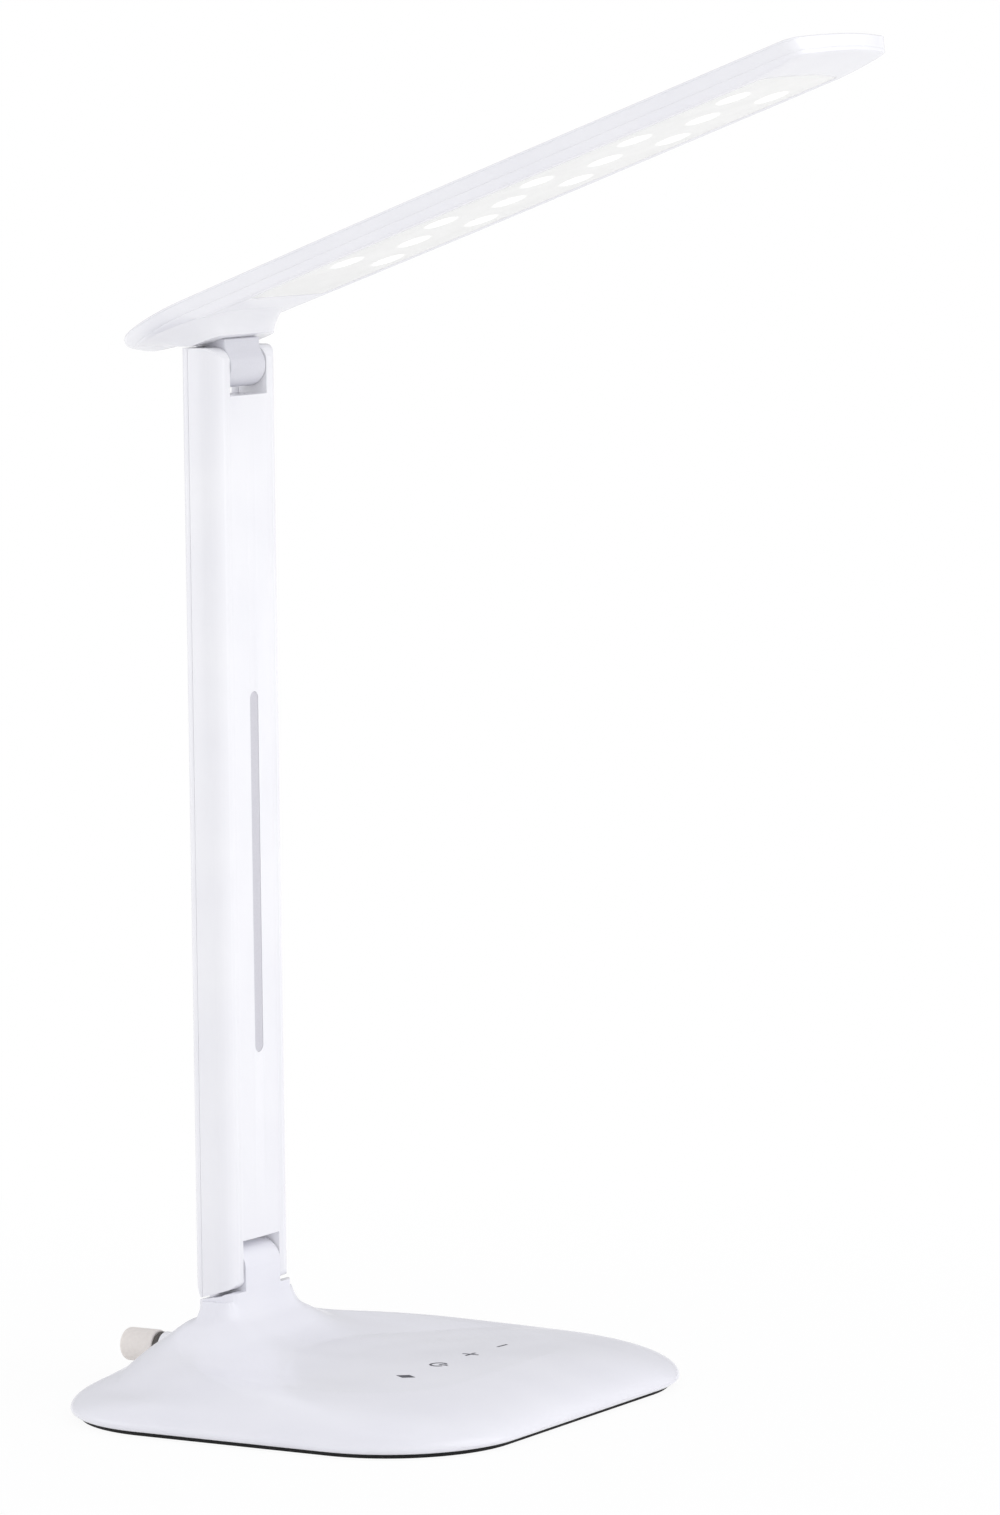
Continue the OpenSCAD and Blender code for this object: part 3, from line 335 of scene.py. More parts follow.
def soften(obj, width, segments=3, angle=32):
    """Rounds the sharp edges and shades the rest smooth."""
    mod = obj.modifiers.new("edge", "BEVEL")
    mod.width = width * MM
    mod.segments = segments
    mod.limit_method = "ANGLE"
    mod.angle_limit = math.radians(angle)
    apply_modifiers(obj)
    shade(obj, angle)


def shade(obj, angle=32):
    """Smooth faces, with edges sharper than the angle kept."""
    bm = bmesh.new()
    bm.from_mesh(obj.data)
    for face in bm.faces:
        face.smooth = True
    limit = math.radians(angle)
    for edge in bm.edges:
        if len(edge.link_faces) == 2:
            edge.smooth = edge.calc_face_angle(0) < limit
    bm.to_mesh(obj.data)
    bm.free()


def join(objs, name):
    """Several meshes as one object, in the frame of the first; each keeps its material."""
    first = objs[0]
    slots = first.data.materials
    bm = bmesh.new()
    for obj in objs:
        mat = obj.data.materials[0]
        if mat.name not in slots:
            slots.append(mat)
        mesh = obj.data.copy()
        mesh.transform(first.matrix_world.inverted() @ obj.matrix_world)
        mesh.polygons.foreach_set("material_index", [slots.find(mat.name)] * len(mesh.polygons))
        bm.from_mesh(mesh)
        bpy.data.meshes.remove(mesh)
    bm.to_mesh(first.data)
    bm.free()
    for obj in objs[1:]:
        bpy.data.objects.remove(obj)
    first.name = name
    return first


def arc(cx, cy, r, a0, a1, steps):
    """Points of an arc from angle a0 to a1, in degrees."""
    return [(cx + r * math.cos(math.radians(a0 + (a1 - a0) * i / steps)),
             cy + r * math.sin(math.radians(a0 + (a1 - a0) * i / steps))) for i in range(steps + 1)]


def dress(obj, body, slot, *nodes):
    """Binds a piece to its body and hides the CAD nodes it stands for; the material slot is not used.
    """
    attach(obj, body)
    if nodes:
        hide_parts(*nodes)


# ---------------------------------------------------------------- base cover
def mix(a, b, share):
    """The value at a share of the way from a to b."""
    return a * (1 - share) + b * share


def base_plan(e):
    """Front, rear, half width and corner radius of the cover where it has come in by e."""
    t = max(e - EDGE_REACH, 0) / (DOME_REACH - EDGE_REACH)
    tr = max(e - REAR_REACH, 0) / (DOME_REACH - REAR_REACH)
    front = mix(BASE_HX - min(e, EDGE_REACH), PIN_X + NECK_HX, t)
    rear = mix(-BASE_HX + min(e, REAR_REACH), PIN_X - NECK_HX, tr)
    side = mix(BASE_HY - min(e, EDGE_REACH), NECK_HY, t)
    r = mix(BASE_R - CORNER_TAPER * min(e, EDGE_REACH), NECK_R, t)
    return front, rear, side, r


def rounded(front, rear, side, r, arc_steps=20, run_steps=14):
    """Points of a rounded rectangle, anticlockwise, with extra points along its straight runs."""
    corners = [(front - r, side - r, 0), (rear + r, side - r, 90),
               (rear + r, -side + r, 180), (front - r, -side + r, 270)]
    points = []
    for k, (cx, cy, a) in enumerate(corners):
        points += arc(cx, cy, r, a, a + 90, arc_steps)
        nx, ny, na = corners[(k + 1) % 4]
        start, end = np.array(points[-1]), np.array(arc(nx, ny, r, na, na, 1)[0])
        points += [tuple(start + (end - start) * i / run_steps) for i in range(1, run_steps)]
    return np.array(points)


def dome(e):
    """Height of the plain dome at an inset e."""
    part = 1 - (1 - min(max(e / DOME_REACH, 0), 1)) ** DOME_POWER
    return EDGE_Z + (BASE_TOP - EDGE_Z) * part ** (1 / DOME_ROOT)


def flare(p):
    """Extra height near the neck, with a tight fillet right against it."""
    dx = np.maximum(np.abs(p[:, 0] - PIN_X) - (NECK_HX - NECK_R), 0)
    dx = np.where(p[:, 0] < PIN_X, dx * FLARE_REAR, dx)
    dy = np.maximum(np.abs(p[:, 1]) - (NECK_HY - NECK_R), 0) * FLARE_SIDE
    d = np.maximum(np.hypot(dx, dy) - NECK_R, 0)
    sweep = np.maximum(1 - d / FLARE_REACH, 0) ** FLARE_POWER
    fillet_share, fillet_reach = 0.09, 0.8
    fillet = np.exp(-d / fillet_reach)
    return (NECK_TOP - BASE_TOP) * ((1 - fillet_share) * sweep + fillet_share * fillet)


# The touch panel is a shallow dish with a crisp rear edge, and a raised horn runs from the
# neck's foot along each side of it. Each line is an oval: centre, half length, half width, power.
PANEL = (45.0, 68.5, 79.0, 1.75)
HORN = (40.0, 107.0, 81.5, 2.0)
# The base's flanks behind the keys lie lower.
PANEL_DEPTH, HORN_SLOPE, FLANK_DROP = 0.8, 0.165, 2.8
# Where each part of this relief starts and ends: inside an oval (OUTER, DISH), in from the base's
# side or rear (RIM, REAR), along X (FRONT, FLANK_X), across (FLANK_Y), as a share of the flare (NECK)
OUTER_FADE, DISH_START, DISH_END = (-26, 8), (-1, 20), (30, 66)
RIM_FADE, REAR_FADE, FRONT_FADE = (3, 26), 14, (6, 44)
FLANK_Y, FLANK_X, FLANK_X_END, NECK_FADE = (14, 48), (-82, -42), (-40, 34), (0.12, 0.7)


def inside(p, oval):
    """Rough distance inside an oval's rear half, negative outside it."""
    cx, a, b, power = oval
    dx = np.maximum(cx - p[:, 0], 0) / a
    q = (dx ** power + (np.abs(p[:, 1]) / b) ** power) ** (1 / power)
    return (1 - q) * (a + b) / 2


def relief(p):
    """A ridge from the panel's crisp edge to a soft crest, the panel's dish and the lowered flanks."""
    from_panel, from_crest = inside(p, PANEL), inside(p, HORN)
    wide = np.maximum(from_crest - from_panel, 0.1)
    climb = np.clip(-from_panel / wide, 0, 1)
    crest = HORN_SLOPE * wide * 0.8
    inner = 1.25 * climb - 0.25 * climb ** 2
    outer = smooth(*OUTER_FADE, from_crest) / smooth(*OUTER_FADE, 0)
    rise = crest * np.where(from_crest > 0, inner, outer)
    rise = np.where(from_panel > 0, 0, rise)
    rim = smooth(*RIM_FADE, BASE_HY - np.abs(p[:, 1]))
    front = 1 - smooth(*FRONT_FADE, p[:, 0])
    drop = FLANK_DROP * smooth(*FLANK_Y, np.abs(p[:, 1])) * smooth(*FLANK_X, p[:, 0])
    drop = drop * (1 - smooth(*FLANK_X_END, p[:, 0]))
    rear = smooth(-BASE_HX, -BASE_HX + REAR_FADE, p[:, 0])
    dish = PANEL_DEPTH * smooth(*DISH_START, from_panel) * (1 - smooth(*DISH_END, from_panel))
    near_neck = flare(p) / (NECK_TOP - BASE_TOP)
    return ((rise * front - drop) * rim * rear - dish) * (1 - smooth(*NECK_FADE, near_neck))


def cover_ring(e):
    """The cover's outline at an inset e, each point at the cover's height."""
    plan = rounded(*base_plan(e))
    return np.c_[plan, dome(e) + flare(plan) + relief(plan)]


def cover_height(x, y):
    """Height of the cover over a point of the plan."""
    lo, hi = 0.0, DOME_REACH
    for _ in range(30):
        e = (lo + hi) / 2
        front, rear, side, r = base_plan(e)
        dx = max(x - (front - r), rear + r - x, 0)
        dy = max(abs(y) - (side - r), 0)
        if math.hypot(dx, dy) < r:
            lo = e
        else:
            hi = e
    p = np.array([[x, y]])
    return dome(lo) + float(flare(p)[0]) + float(relief(p)[0])


def make_base_cover():
    """The cover with its neck, the bites for the cheeks and the lower knuckle."""
    rim = 2.0
    inset = LIP + rim
    inner = rounded(BASE_HX - inset, -BASE_HX + inset, BASE_HY - inset, BASE_R - inset)
    rings = [np.c_[inner, np.full(len(inner), LIP_Z)]]
    for k in range(9):
        turn = math.radians(90 - 10 * k)
        inset = LIP * (1 - math.cos(turn))
        z = EDGE_Z - (EDGE_Z - LIP_Z) * math.sin(turn)
        plan = rounded(BASE_HX - inset, -BASE_HX + inset, BASE_HY - inset, BASE_R - inset)
        rings.append(np.c_[plan, np.full(len(plan), z)])
    near_foot = 56
    steps = list(EDGE_REACH * np.linspace(0, 1, 34) ** 1.8)
    steps += list(np.linspace(EDGE_REACH, near_foot, 60)[1:])
    steps += list(np.linspace(near_foot, DOME_REACH, 22)[1:])
    rings += [cover_ring(e) for e in steps[:-1]]
    foot, joint_z = rounded(*base_plan(DOME_REACH)), NECK_TOP + 3
    rings += [np.c_[foot, np.full(len(foot), z)] for z in (NECK_TOP, joint_z, NECK_TOP + 6)]
    cover = new_object("cover_skin", *loft(rings), ABS_BASE_SHADED)
    fix_normals(cover)
    # The bites beside the knuckle clear the cheeks over the whole fold: cheek_r rounds a cheek's
    # front corner in the solids, and sweep_r is how far from the pin that corner and the gap reach
    cheek_r = 3.0
    corner_x = STEM_HX - cheek_r
    corner_z = STEM_LOW + (2 * STEM_HX - cheek_r) * SLOPE + cheek_r - PIN_LOW
    sweep_r = math.hypot(corner_x, corner_z) + cheek_r + NECK_GAP
    low = STEM_LOW - NECK_GAP
    circle = arc(PIN_X, PIN_LOW, sweep_r, 180, 360, 72)
    under_fold = PIN_LOW - STEM_HX - NECK_GAP
    wedge = [(x, min(z, low + (x - REAR_X) * SLOPE, under_fold)) for x, z in circle if x > PIN_X]
    rear, front, over = REAR_X - 4, PIN_X + 20, 60
    deepest = min(PIN_LOW - sweep_r, low + STEM_HX * SLOPE)
    wedge = [(rear, low + (rear - REAR_X) * SLOPE), (PIN_X, deepest)] + wedge
    wedge += [(front, wedge[-1][1]), (front, over), (rear, over)]
    for side in (-1, 1):
        bite = prism("bite", wedge, 1, *sorted((side * TONGUE_HY, side * FAR)))
        cut(cover, bite)
    profile = arc(PIN_X, PIN_LOW, NECK_HX, 0, 180, 40)
    profile += [(PIN_X - NECK_HX, joint_z), (PIN_X + NECK_HX, joint_z)]
    cut(cover, prism("tongue", profile, 1, -TONGUE_HY, TONGUE_HY, ABS_BASE_SHADED), "UNION")
    soften(cover, 0.45, angle=38)
    cover.name = "base_shell"
    return cover


dress(make_base_cover(), "base", "white_gloss", "base_cover")


# ---------------------------------------------------------------- key symbols
INK_LIFT, INK_THICK = 0.04, 0.06


def stroke_path(points, width):
    """A band of even width along an open path, as pairs of edge points."""
    pts = np.array(points, float)
    run = np.vstack([pts[1:], pts[-1:]]) - np.vstack([pts[:1], pts[:-1]])
    run /= np.linalg.norm(run, axis=1)[:, None]
    side = np.c_[-run[:, 1], run[:, 0]] * width / 2
    return pts + side, pts - side


def make_symbols():
    """Mode, power, plus and minus, printed on the cover from the near side to the far side."""
    verts, faces = [], []

    def band(points):
        left, right = stroke_path(points, KEY_LINE)
        start = len(verts)
        for a, b in zip(left, right):
            verts.extend([tuple(a), tuple(b)])
        for a in range(start, len(verts) - 2, 2):
            faces.append((a, a + 1, a + 3, a + 2))

    def line(a, b):
        band([np.array(a) + (np.array(b) - np.array(a)) * i / 8 for i in range(9)])

    r = KEY_R - KEY_LINE / 2
    y0, y1, y2, y3 = [KEY_PITCH * k for k in (-1.5, -0.5, 0.5, 1.5)]
    verts.append((KEYS_X, y0))
    for i in range(4):
        turn, reach = math.radians(90 * i), MARK_WIDE if i % 2 else MARK_LONG
        verts.append((KEYS_X + reach * math.cos(turn), y0 + reach * math.sin(turn)))
    faces.extend([(0, 1 + i, 1 + (i + 1) % 4) for i in range(4)])
    band(arc(KEYS_X, y1, r, 35, 325, 44))
    line((KEYS_X + 0.3, y1), (KEYS_X + KEY_R + 0.5, y1))
    for y in (y2, y3):
        line((KEYS_X, y - KEY_R), (KEYS_X, y + KEY_R))
    line((KEYS_X - KEY_R, y2), (KEYS_X + KEY_R, y2))
    lifted = [(x, y, cover_height(x, y) + INK_LIFT) for x, y in verts]
    return new_object("key_symbols", lifted, faces, INK)


symbols = make_symbols()
thick = symbols.modifiers.new("ink", "SOLIDIFY")
thick.thickness = INK_THICK * MM
thick.offset = 0
apply_modifiers(symbols)
dress(symbols, "base", "symbol_ink", "touch_icons")


# ---------------------------------------------------------------- cord inlet
def lathe(name, profile, x0, z0, mat, steps=64):
    """A turned piece about an axis along X; the profile is (distance behind x0, radius)."""
    rings = []
    for along, r in profile:
        rings.append([(x0 - along, r * math.cos(2 * math.pi * i / steps),
                       z0 + r * math.sin(2 * math.pi * i / steps)) for i in range(steps)])
    n = len(rings)
    verts, faces = loft(rings, caps=(False, False))
    for i in range(steps):
        a, b = (n - 1) * steps + i, (n - 1) * steps + (i + 1) % steps
        faces.append((a, b, (i + 1) % steps, i))
    obj = new_object(name, verts, faces, mat)
    fix_normals(obj)
    shade(obj, 40)
    return obj


GLAND_Z, GLAND_R, GLAND_LEN, RING_LEN, BORE_R = 10.4, 5.6, 15.2, 2.2, 2.3
GLAND_X = -BASE_HX - 2.9
SLEEVE_R, SLEEVE_BORE_R, SLEEVE_LEN = GLAND_R - 0.4, 3.7, 30.0
EDGE_R, NOSE_END_R, MOUTH_R = 0.5, 1.8, 0.6

gland = [(RING_LEN, BORE_R), (RING_LEN, GLAND_R - EDGE_R)]
gland += arc(RING_LEN + EDGE_R, GLAND_R - EDGE_R, EDGE_R, 180, 90, 6)
gland += arc(GLAND_LEN - NOSE_END_R, GLAND_R - NOSE_END_R, NOSE_END_R, 90, 0, 10)
gland += arc(GLAND_LEN - MOUTH_R, BORE_R + MOUTH_R, MOUTH_R, 0, -90, 6)
dress(lathe("gland_body", gland, GLAND_X, GLAND_Z, GLAND_PVC), "base", "gland_rubber", "cable_gland")
# The groove's ring is dark grey as painted shade
ring_prof = [(0.05, BORE_R + 1.4), (0.05, GLAND_R - 0.9), (0.5, GLAND_R - 0.55)]
ring_prof += [(RING_LEN - along, r) for along, r in ring_prof[::-1]]
dress(lathe("gland_groove", ring_prof, GLAND_X, GLAND_Z, GROOVE_SHADE_PVC), "base", "dark_rubber", "gland_ring")
sleeve = [(-SLEEVE_LEN, SLEEVE_BORE_R), (-SLEEVE_LEN, SLEEVE_R), (-EDGE_R, SLEEVE_R)]
sleeve += arc(-EDGE_R, SLEEVE_R - EDGE_R, EDGE_R, 90, 0, 6) + [(0.0, SLEEVE_BORE_R)]
dress(lathe("inlet_spout", sleeve, GLAND_X, GLAND_Z, ABS_WHITE), "base", "white_gloss", "inlet_sleeve")


# ---------------------------------------------------------------- stem
SEAM_X = PIN_X - STEM_HX + BACK_DEP


def stem_section():
    """Plan of the stem: bowed front with rounded long edges, flatter back."""
    bow_r, edge_r, back_r = 170.0, 6.5, 2.0
    points = arc(FRONT_X - edge_r, STEM_HY - edge_r, edge_r, 90, 3, 16)[::-1]
    points.append((PIN_X, STEM_HY))
    points += arc(REAR_X + back_r, STEM_HY - back_r, back_r, 90, 180, 10)
    lower = [(x, -y) for x, y in points[::-1]]
    front = []
    y_end = points[0][1]
    for i in range(25):
        y = -y_end + 2 * y_end * i / 24
        x = FRONT_X - bow_r + math.sqrt(bow_r ** 2 - y ** 2)
        front.append((min(x, FRONT_X), y))
    return points[1:] + lower[:-1] + front[1:-1] + [points[0]]


def stem_profile():
    """Side view of the stem: cheek ends that slope up to the front and a rounded upper front."""
    def low(x):
        return STEM_LOW + (x - REAR_X) * SLOPE

    low_r, top_r, rear = 4.0, 6.0, REAR_X - 1
    corner_x = FRONT_X - low_r
    corner = [(corner_x, low(corner_x))]
    corner += arc(corner_x, low(corner_x) + low_r + 0.2, low_r, -72, 0, 12)
    top = arc(FRONT_X - top_r, STEM_TOP - top_r, top_r, 0, 90, 14)
    return [(rear, low(rear))] + corner + top + [(rear, STEM_TOP)]


def stem_blank(name):
    """The whole stem as one solid, with the notch for a knuckle at each end."""
    blank = prism(name, stem_section(), 2, STEM_LOW - SPARE, STEM_TOP + SPARE)
    cut(blank, prism("side", stem_profile(), 1, -FAR, FAR), "INTERSECT")
    notch_len = 60
    notch = [(-NOTCH_HY, 0), (NOTCH_HY, 0), (NOTCH_HY, notch_len), (-NOTCH_HY, notch_len)]
    low = [(y, PIN_LOW + NOTCH_DEEP - z) for y, z in notch]
    high = [(y, PIN_HIGH - NOTCH_DEEP + z) for y, z in notch]
    for shape in (low, high):
        cut(blank, prism("notch", shape, 0, REAR_X - SPARE, FRONT_X + SPARE))
    return blank


def slab_cut(obj, x0, x1):
    """Keeps what lies between two planes square to X."""
    box = [(x0, -FAR), (x1, -FAR), (x1, FAR), (x0, FAR)]
    cut(obj, prism("slab", box, 2, 0, TALL), "INTERSECT")


# The slot is 0.1 mm wider than the inlay on each side
STRIP_R, STRIP_LOW, STRIP_LEN, STRIP_DEEP = 2.4, PIN_LOW + 71.5, 120.0, 1.15
STRIP_HW = STRIP_R + 0.1
body = stem_blank("stem_shell")
slab_cut(body, SEAM_X + SEAM_GAP / 2, FRONT_X + SPARE)
slot = arc(0, STRIP_LOW + STRIP_LEN - STRIP_R, STRIP_HW, 0, 180, 24)
slot += arc(0, STRIP_LOW + STRIP_R, STRIP_HW, 180, 360, 24)
cut(body, prism("slot", slot, 0, FRONT_X - STRIP_DEEP, FRONT_X + 3))
soften(body, 0.35)
dress(body, "stem", "white_gloss", "stem_body")

lid = stem_blank("stem_lid")
slab_cut(lid, REAR_X - SPARE, SEAM_X - SEAM_GAP / 2)
# The lid's lower end curves in to the front
end_r, end_len, end_turn = 17.0, 9.0, 34
lid_end = arc(REAR_X + end_r, STEM_LOW + end_len, end_r, 180, 180 + end_turn, 10)
lid_end += [(REAR_X - 4, lid_end[-1][1]), (REAR_X - 4, STEM_LOW + end_len)]
cut(lid, prism("lid_end", lid_end, 1, -FAR, FAR))
SCREW_Y, SCREW_LOW, SCREW_HIGH, POCKET_R, POCKET_DEEP = 8, 82.5, 299.5, 2.55, 1.2
for screw_z in np.linspace(SCREW_LOW, SCREW_HIGH, 3):
    for screw_y in (-SCREW_Y, SCREW_Y):
        pocket = arc(screw_y, screw_z, POCKET_R, 0, 360, 40)[:-1]
        cut(lid, prism("pocket", pocket, 0, REAR_X - 2, REAR_X + POCKET_DEEP))
soften(lid, 0.3)
dress(lid, "stem", "white_gloss", "stem_back")


# ---------------------------------------------------------------- head
HEAD = Matrix.Translation(Vector((PIN_X, 0, PIN_HIGH)) * MM) @ Matrix.Rotation(-HEAD_TILT, 4, "Y")
TAIL_U, TAIL_POWER, TAIL_SHARE, TAPER_LEN = 5.0, 1.45, 0.86, 112.0
# The seam's groove: how deep it is, how far its lips draw in, and how far the halves go in between
SEAM_DEEP, SEAM_EASE, SEAM_IN = 0.14, 0.03, 1.6
# The same along the head's side, as shares of its height: from lip to groove, to flat, and the gap
SEAM_LIP, SEAM_FLAT, SEAM_SPLIT = 0.04, 0.07, 0.002
REAR_RISE, NOSE_RISE, FRONT_BOW, NOSE_R = 10.0, 15.0, 2.5, 6.0
REAR_SHARE, NOSE_SHARE = 0.75, 0.25


def head_outline(t, w):
    """Outline of the head between its underside (0) and its top edge (1), drawn in by w."""
    rear = -HEAD_REAR + REAR_RISE * (1 - min(t / REAR_SHARE, 1)) ** 1.5 + w
    front = HEAD_FRONT - NOSE_RISE * (1 - min(t / NOSE_SHARE, 1)) ** 1.6 - w
    full = HEAD_HW - HEAD_LEAN * (1 - t)
    hw, tail = full - w, TAIL_SHARE * full - w
    r = max(NOSE_R - w, 2)
    flat, x1 = hw - r, front - FRONT_BOW - r
    taper = [(TAIL_U + TAPER_LEN * k, tail + (hw - tail) * (1 - (1 - k) ** 1.6))
             for k in np.linspace(1, 0, 18)[:-1]]
    long_run = [(x1 + (TAIL_U + TAPER_LEN - x1) * k, hw) for k in np.linspace(0, 1, 12)[1:-1]]
    cap = []
    for a in np.radians(np.linspace(0, 180, 61)):
        c, s = math.cos(a), max(math.sin(a), 0)
        cap.append((TAIL_U - (TAIL_U - rear) * s ** (2 / TAIL_POWER),
                    tail * math.copysign(abs(c) ** (2 / TAIL_POWER), c)))
    side = arc(x1, flat, r, 0, 90, 10) + long_run + taper
    bow = [(front - FRONT_BOW * k * k, flat * k) for k in np.linspace(-1, 1, 15)[1:-1]]
    mirror = [(x, -y) for x, y in side[::-1]]
    return np.array(bow + side + cap[:-1] + mirror)


def level(points, n):
    """Points of a plan, all at height n over the head's axis."""
    return np.c_[points, np.full(len(points), n)]


def n_at(t):
    """Height at a share t of the head's side."""
    return HEAD_UNDER + HEAD_SIDE * t


def window(w, face_n):
    """Plan of the lens window: the underside's outline drawn in by w, cut off softly at the rear."""
    pts = head_outline(0, LENS_INSET + w)
    d = pts[:, 0] - (LENS_REAR + w)
    pts[:, 0] = LENS_REAR + w + (d + np.sqrt(d * d + 16)) / 2
    return level(pts, face_n)


def head_piece(name, rings, caps, mat):
    """A smooth lofted piece in the head's frame."""
    obj = new_object(name, *loft(rings, caps), mat, HEAD)
    fix_normals(obj)
    shade(obj, 40)
    return obj


def make_head_frame():
    """The lower shell: window, rounded lower edge and side up to the seam's groove."""
    rings = [window(0.05, LENS_FACE + 1.6), window(0, LENS_FACE + 0.6), window(0, HEAD_UNDER + 0.25),
             window(-0.15, HEAD_UNDER + 0.08), window(-0.4, HEAD_UNDER)]
    turn_t, turn_w = 0.09, 1.1
    for k in range(1, 9):
        a = math.radians(90 * k / 8)
        t = turn_t * (1 - math.cos(a))
        rings.append(level(head_outline(t, turn_w * (1 - math.sin(a))), n_at(t)))
    for t in np.linspace(0.12, SEAM_T - SEAM_FLAT, 14):
        rings.append(level(head_outline(t, 0), n_at(t)))
    rings.append(level(head_outline(SEAM_T - SEAM_LIP, SEAM_EASE), n_at(SEAM_T - SEAM_LIP)))
    rings.append(level(head_outline(SEAM_T, SEAM_DEEP), n_at(SEAM_T)))
    rings.append(level(head_outline(SEAM_T, SEAM_IN), n_at(SEAM_T)))
    return head_piece("frame_skin", rings, (False, False), ABS_HEAD_LIT)


def make_head_cover():
    """The upper shell: side above the seam, rounded top edge and crown."""
    rings = [level(head_outline(SEAM_T, SEAM_IN), n_at(SEAM_T + SEAM_SPLIT)),
             level(head_outline(SEAM_T, SEAM_DEEP), n_at(SEAM_T + SEAM_SPLIT)),
             level(head_outline(SEAM_T + SEAM_LIP, SEAM_EASE), n_at(SEAM_T + SEAM_LIP))]
    for t in np.linspace(SEAM_T + SEAM_FLAT, 0.9, 10):
        rings.append(level(head_outline(t, 0), n_at(t)))
    edge_w, edge_n, edge_lift = 0.9, 0.75, 0.08
    for k in range(1, 9):
        a = math.radians(90 * k / 8)
        rings.append(level(head_outline(1, edge_w * (1 - math.cos(a))),
                           TOP_N - edge_n * (1 - math.sin(a)) + edge_lift * (1 - math.cos(a))))
    full = HEAD_HW * TAIL_SHARE - 2
    for s in np.linspace(0.05, 1, 26):
        rings.append(level(head_outline(1, edge_w + s * (full - edge_w)),
                           TOP_N + edge_lift + HEAD_CROWN * (1 - (1 - s) ** 2)))
    return head_piece("head_lid", rings, (False, True), ABS_HEAD_LIT)


dress(make_head_cover(), "head", "white_gloss", "head_cover")


def make_throat():
    """The throat, with a level shoulder over the stem and room for it when folded, and its knuckle."""
    rings = []
    low_u, high_u, low_n = 7.7 * math.sin(HEAD_TILT), -3, 3
    for t in np.r_[0, np.linspace(0.2, 1, 34)]:
        # Centre, half length, half width and corner radius change from the stem's end to the head's
        k, wide = t ** 3.2, t ** 2.3
        cx, hx, hy, r = low_u + (high_u - low_u) * k, 7.0 + 13 * k, 18.0 + 10.3 * wide, 4 + 15 * k
        plan = rounded(cx + hx, cx - hx, hy, r, 12, 6)
        rings.append(level(plan, low_n + (HEAD_UNDER - 2.7) * t))
    verts, faces = loft(rings)
    throat = new_object("throat", verts, faces, ABS_WHITE)
    throat.data.transform(HEAD)
    fix_normals(throat)
    under, relief_n, past = STEM_TOP + 0.5, STEM_HX + 0.55, 60
    shoulder = [(PIN_X - past, under - 50), (PIN_X + past, under - 50),
                (PIN_X + past, under), (PIN_X - past, under)]
    cut(throat, prism("shoulder", shoulder, 1, -past, past))
    fold = [(0, -past), (80, -past), (80, relief_n), (0, relief_n)]
    block = prism("fold", fold, 1, -past, past)
    block.data.transform(HEAD)
    cut(throat, block)
    soften(throat, 0.2, angle=38)
    web_top = 9.2
    web = [(-KNUCKLE_R, web_top)] + arc(0, 0, KNUCKLE_R, 180, 395, 44)
    web += [(4.9, 5.6), (4.6, 7.2), (4.6, web_top)]
    # The upper knuckle is greyer as painted shade
    tongue = prism("tongue_up", [(PIN_X + x, PIN_HIGH + z) for x, z in web], 1,
                   -TONGUE_HY, TONGUE_HY, ABS_HINGE_SHADED)
    soften(tongue, 0.6)
    return [throat, tongue]


skin = make_head_frame()
dress(join([skin] + make_throat(), "head_tray"), "head", "white_gloss", "head_frame")


def make_lens():
    """The lens: an opal plate with a soft lower edge, in the window."""
    rings = [window(0.3, LENS_FACE + 1.7), window(0.1, LENS_FACE + 1.7), window(0.1, LENS_FACE + 0.3),
             window(0.18, LENS_FACE + 0.08), window(0.4, LENS_FACE)]
    return head_piece("opal_lens", rings, (True, True), OPAL)


dress(make_lens(), "head", "diffuser_plastic", "diffuser")

# ---------------------------------------------------------------- camera, floor and light
camera_data = bpy.data.cameras.new("camera")
camera_data.sensor_width = 36.0
camera_data.lens = 170.0
camera_data.clip_start, camera_data.clip_end = 0.1, 50.0
camera = bpy.data.objects.new("camera", camera_data)
# What is right, up and back in the view, made square to each other
right = Vector((0.8609, 0.5086, -0.0117))
up = Vector((-0.0407, 0.0917, 0.9950))
back = right.cross(up).normalized()
right = up.cross(back).normalized()
turn = Matrix((right, back.cross(right), back)).transposed().to_4x4()
camera.matrix_world = Matrix.Translation((1.2246, -1.9834, 0.4458)) @ turn
bpy.context.scene.collection.objects.link(camera)
bpy.context.scene.camera = camera


def paper(name):
    """White paper: it keeps the object's shadow close by and fades to plain white further out."""
    mat = material(name, {"Base Color": rgb("fafafa"), "Roughness": 0.9, "Specular IOR Level": 0.1})
    tree = mat.node_tree
    spot = add(tree, "ShaderNodeTexCoord").outputs["Object"]
    away = add(tree, "ShaderNodeVectorMath", {0: spot}, operation="LENGTH").outputs["Value"]
    fade = add(tree, "ShaderNodeMapRange", {"Value": away, "From Min": 0.1, "From Max": 0.45,
                                            "To Min": 0.92, "To Max": 1.0}).outputs["Result"]
    rays = add(tree, "ShaderNodeLightPath").outputs
    plain_rays = math_node(tree, "MAXIMUM", rays["Is Camera Ray"], rays["Is Transmission Ray"])
    plain_rays = math_node(tree, "MAXIMUM", plain_rays, rays["Is Glossy Ray"])
    white = add(tree, "ShaderNodeEmission", {"Color": (1, 1, 1, 1), "Strength": 1.0})
    share = math_node(tree, "MULTIPLY", plain_rays, fade)
    blend = add(tree, "ShaderNodeMixShader",
                {0: share, 1: tree.nodes["Principled BSDF"].outputs[0], 2: white.outputs[0]})
    tree.links.new(blend.outputs[0], tree.nodes["Material Output"].inputs["Surface"])
    return mat


FLOOR_Z, FLOOR_HALF = -0.05, 9000
corners = [(x * FLOOR_HALF, y * FLOOR_HALF, FLOOR_Z) for x, y in ((-1, -1), (1, -1), (1, 1), (-1, 1))]
floor = new_object("floor", corners, [(0, 1, 2, 3)], paper("floor_paper"))

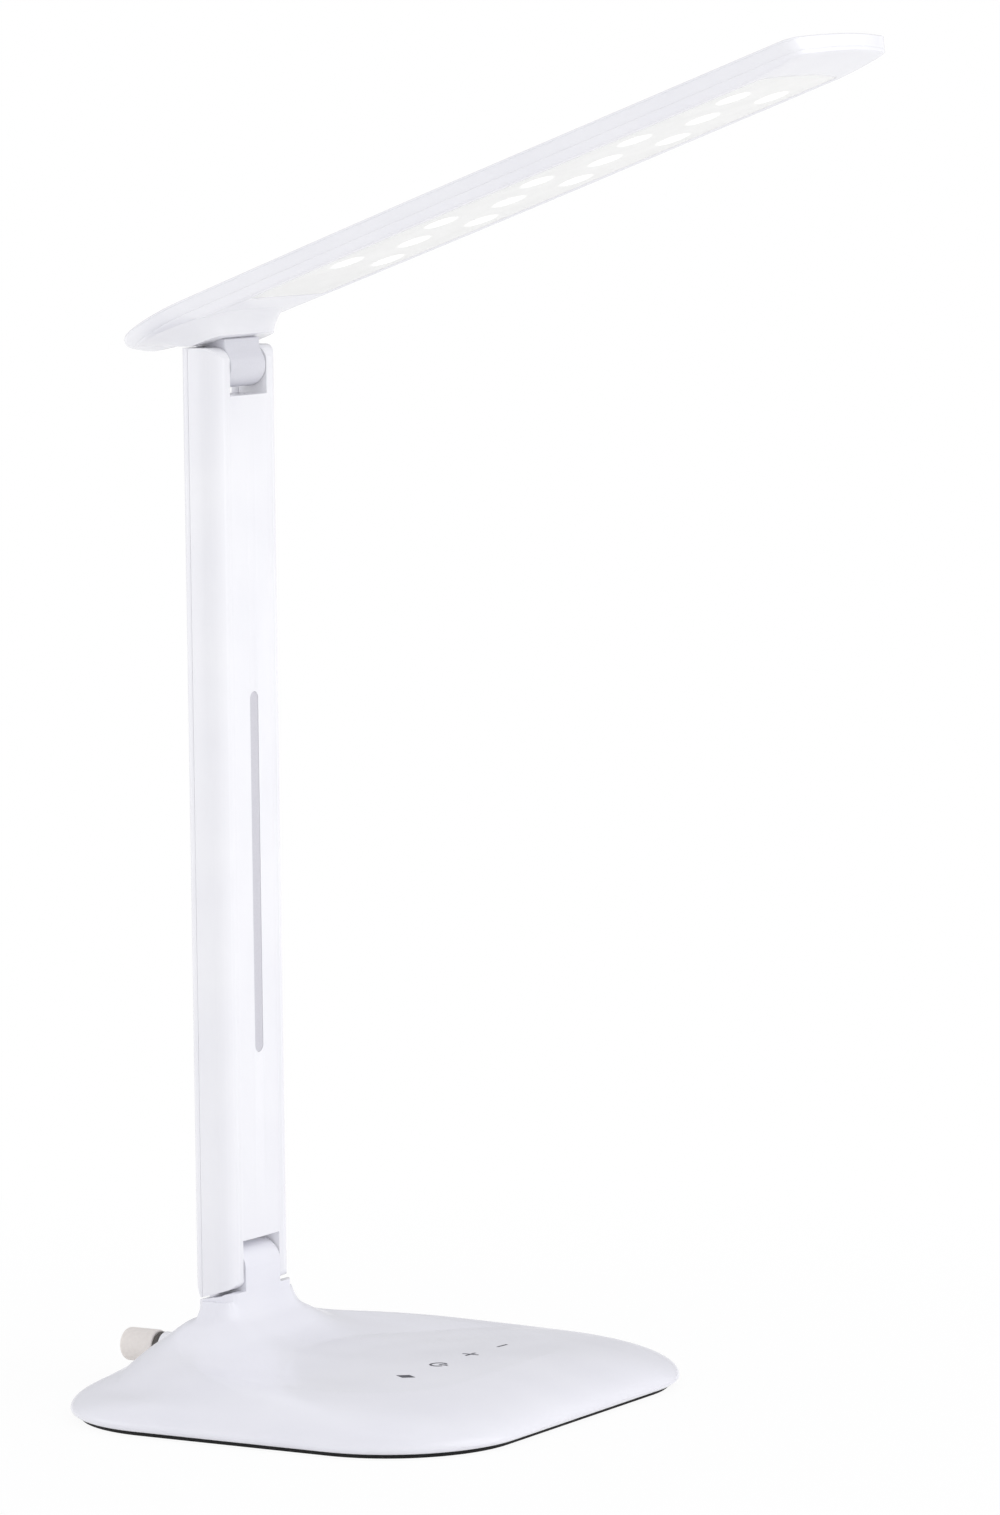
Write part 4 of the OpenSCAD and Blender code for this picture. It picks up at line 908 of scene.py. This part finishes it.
world = bpy.data.worlds.new("studio")
bpy.context.scene.world = world
world.use_nodes = True
tree = world.node_tree
for node in list(tree.nodes):
    tree.nodes.remove(node)
place = add(tree, "ShaderNodeTexCoord").outputs["Generated"]
height = add(tree, "ShaderNodeSeparateXYZ", {0: place}).outputs["Z"]
# Lightest a little above the horizon, darker overhead
sky = ramp(tree, height, [(0.0, (0.87, 0.87, 0.88, 1)), (0.35, (0.95, 0.95, 0.96, 1)),
                          (0.7, (0.9, 0.9, 0.92, 1)), (1.0, (0.5, 0.5, 0.53, 1))])
# Darker behind the object, as the camera sees it
behind = add(tree, "ShaderNodeVectorMath", {0: place, 1: (-0.53, 0.85, 0.0)},
             operation="DOT_PRODUCT").outputs["Value"]
dim = add(tree, "ShaderNodeMapRange",
          {"Value": behind, "From Min": 0.5, "From Max": 0.95, "To Min": 1.04, "To Max": 0.62},
          interpolation_type="SMOOTHSTEP").outputs["Result"]
studio = add(tree, "ShaderNodeBackground", {"Color": sky, "Strength": dim})
paper_white = add(tree, "ShaderNodeBackground", {"Color": (1, 1, 1, 1), "Strength": 1.0})
seen = add(tree, "ShaderNodeLightPath").outputs["Is Camera Ray"]
choose = add(tree, "ShaderNodeMixShader", {0: seen, 1: studio.outputs[0], 2: paper_white.outputs[0]})
add(tree, "ShaderNodeOutputWorld", {"Surface": choose.outputs[0]})


def softbox(name, place, aim, size, power):
    """A rectangular area light; metres and watts."""
    light = bpy.data.lights.new(name, "AREA")
    light.shape = "RECTANGLE"
    light.size, light.size_y = size
    light.energy = power
    obj = bpy.data.objects.new(name, light)
    obj.location = place
    obj.rotation_euler = (Vector(aim) - Vector(place)).to_track_quat("-Z", "Y").to_euler()
    bpy.context.scene.collection.objects.link(obj)


softbox("key", place=(2.0, 0.6, 1.4), aim=(0, 0, 0.15), size=(2.2, 2.2), power=15.5)
softbox("fill", place=(-1.9, -1.4, 0.5), aim=(0, 0, 0.3), size=(1.6, 1.2), power=6)

bpy.context.scene.view_settings.view_transform = "Standard"
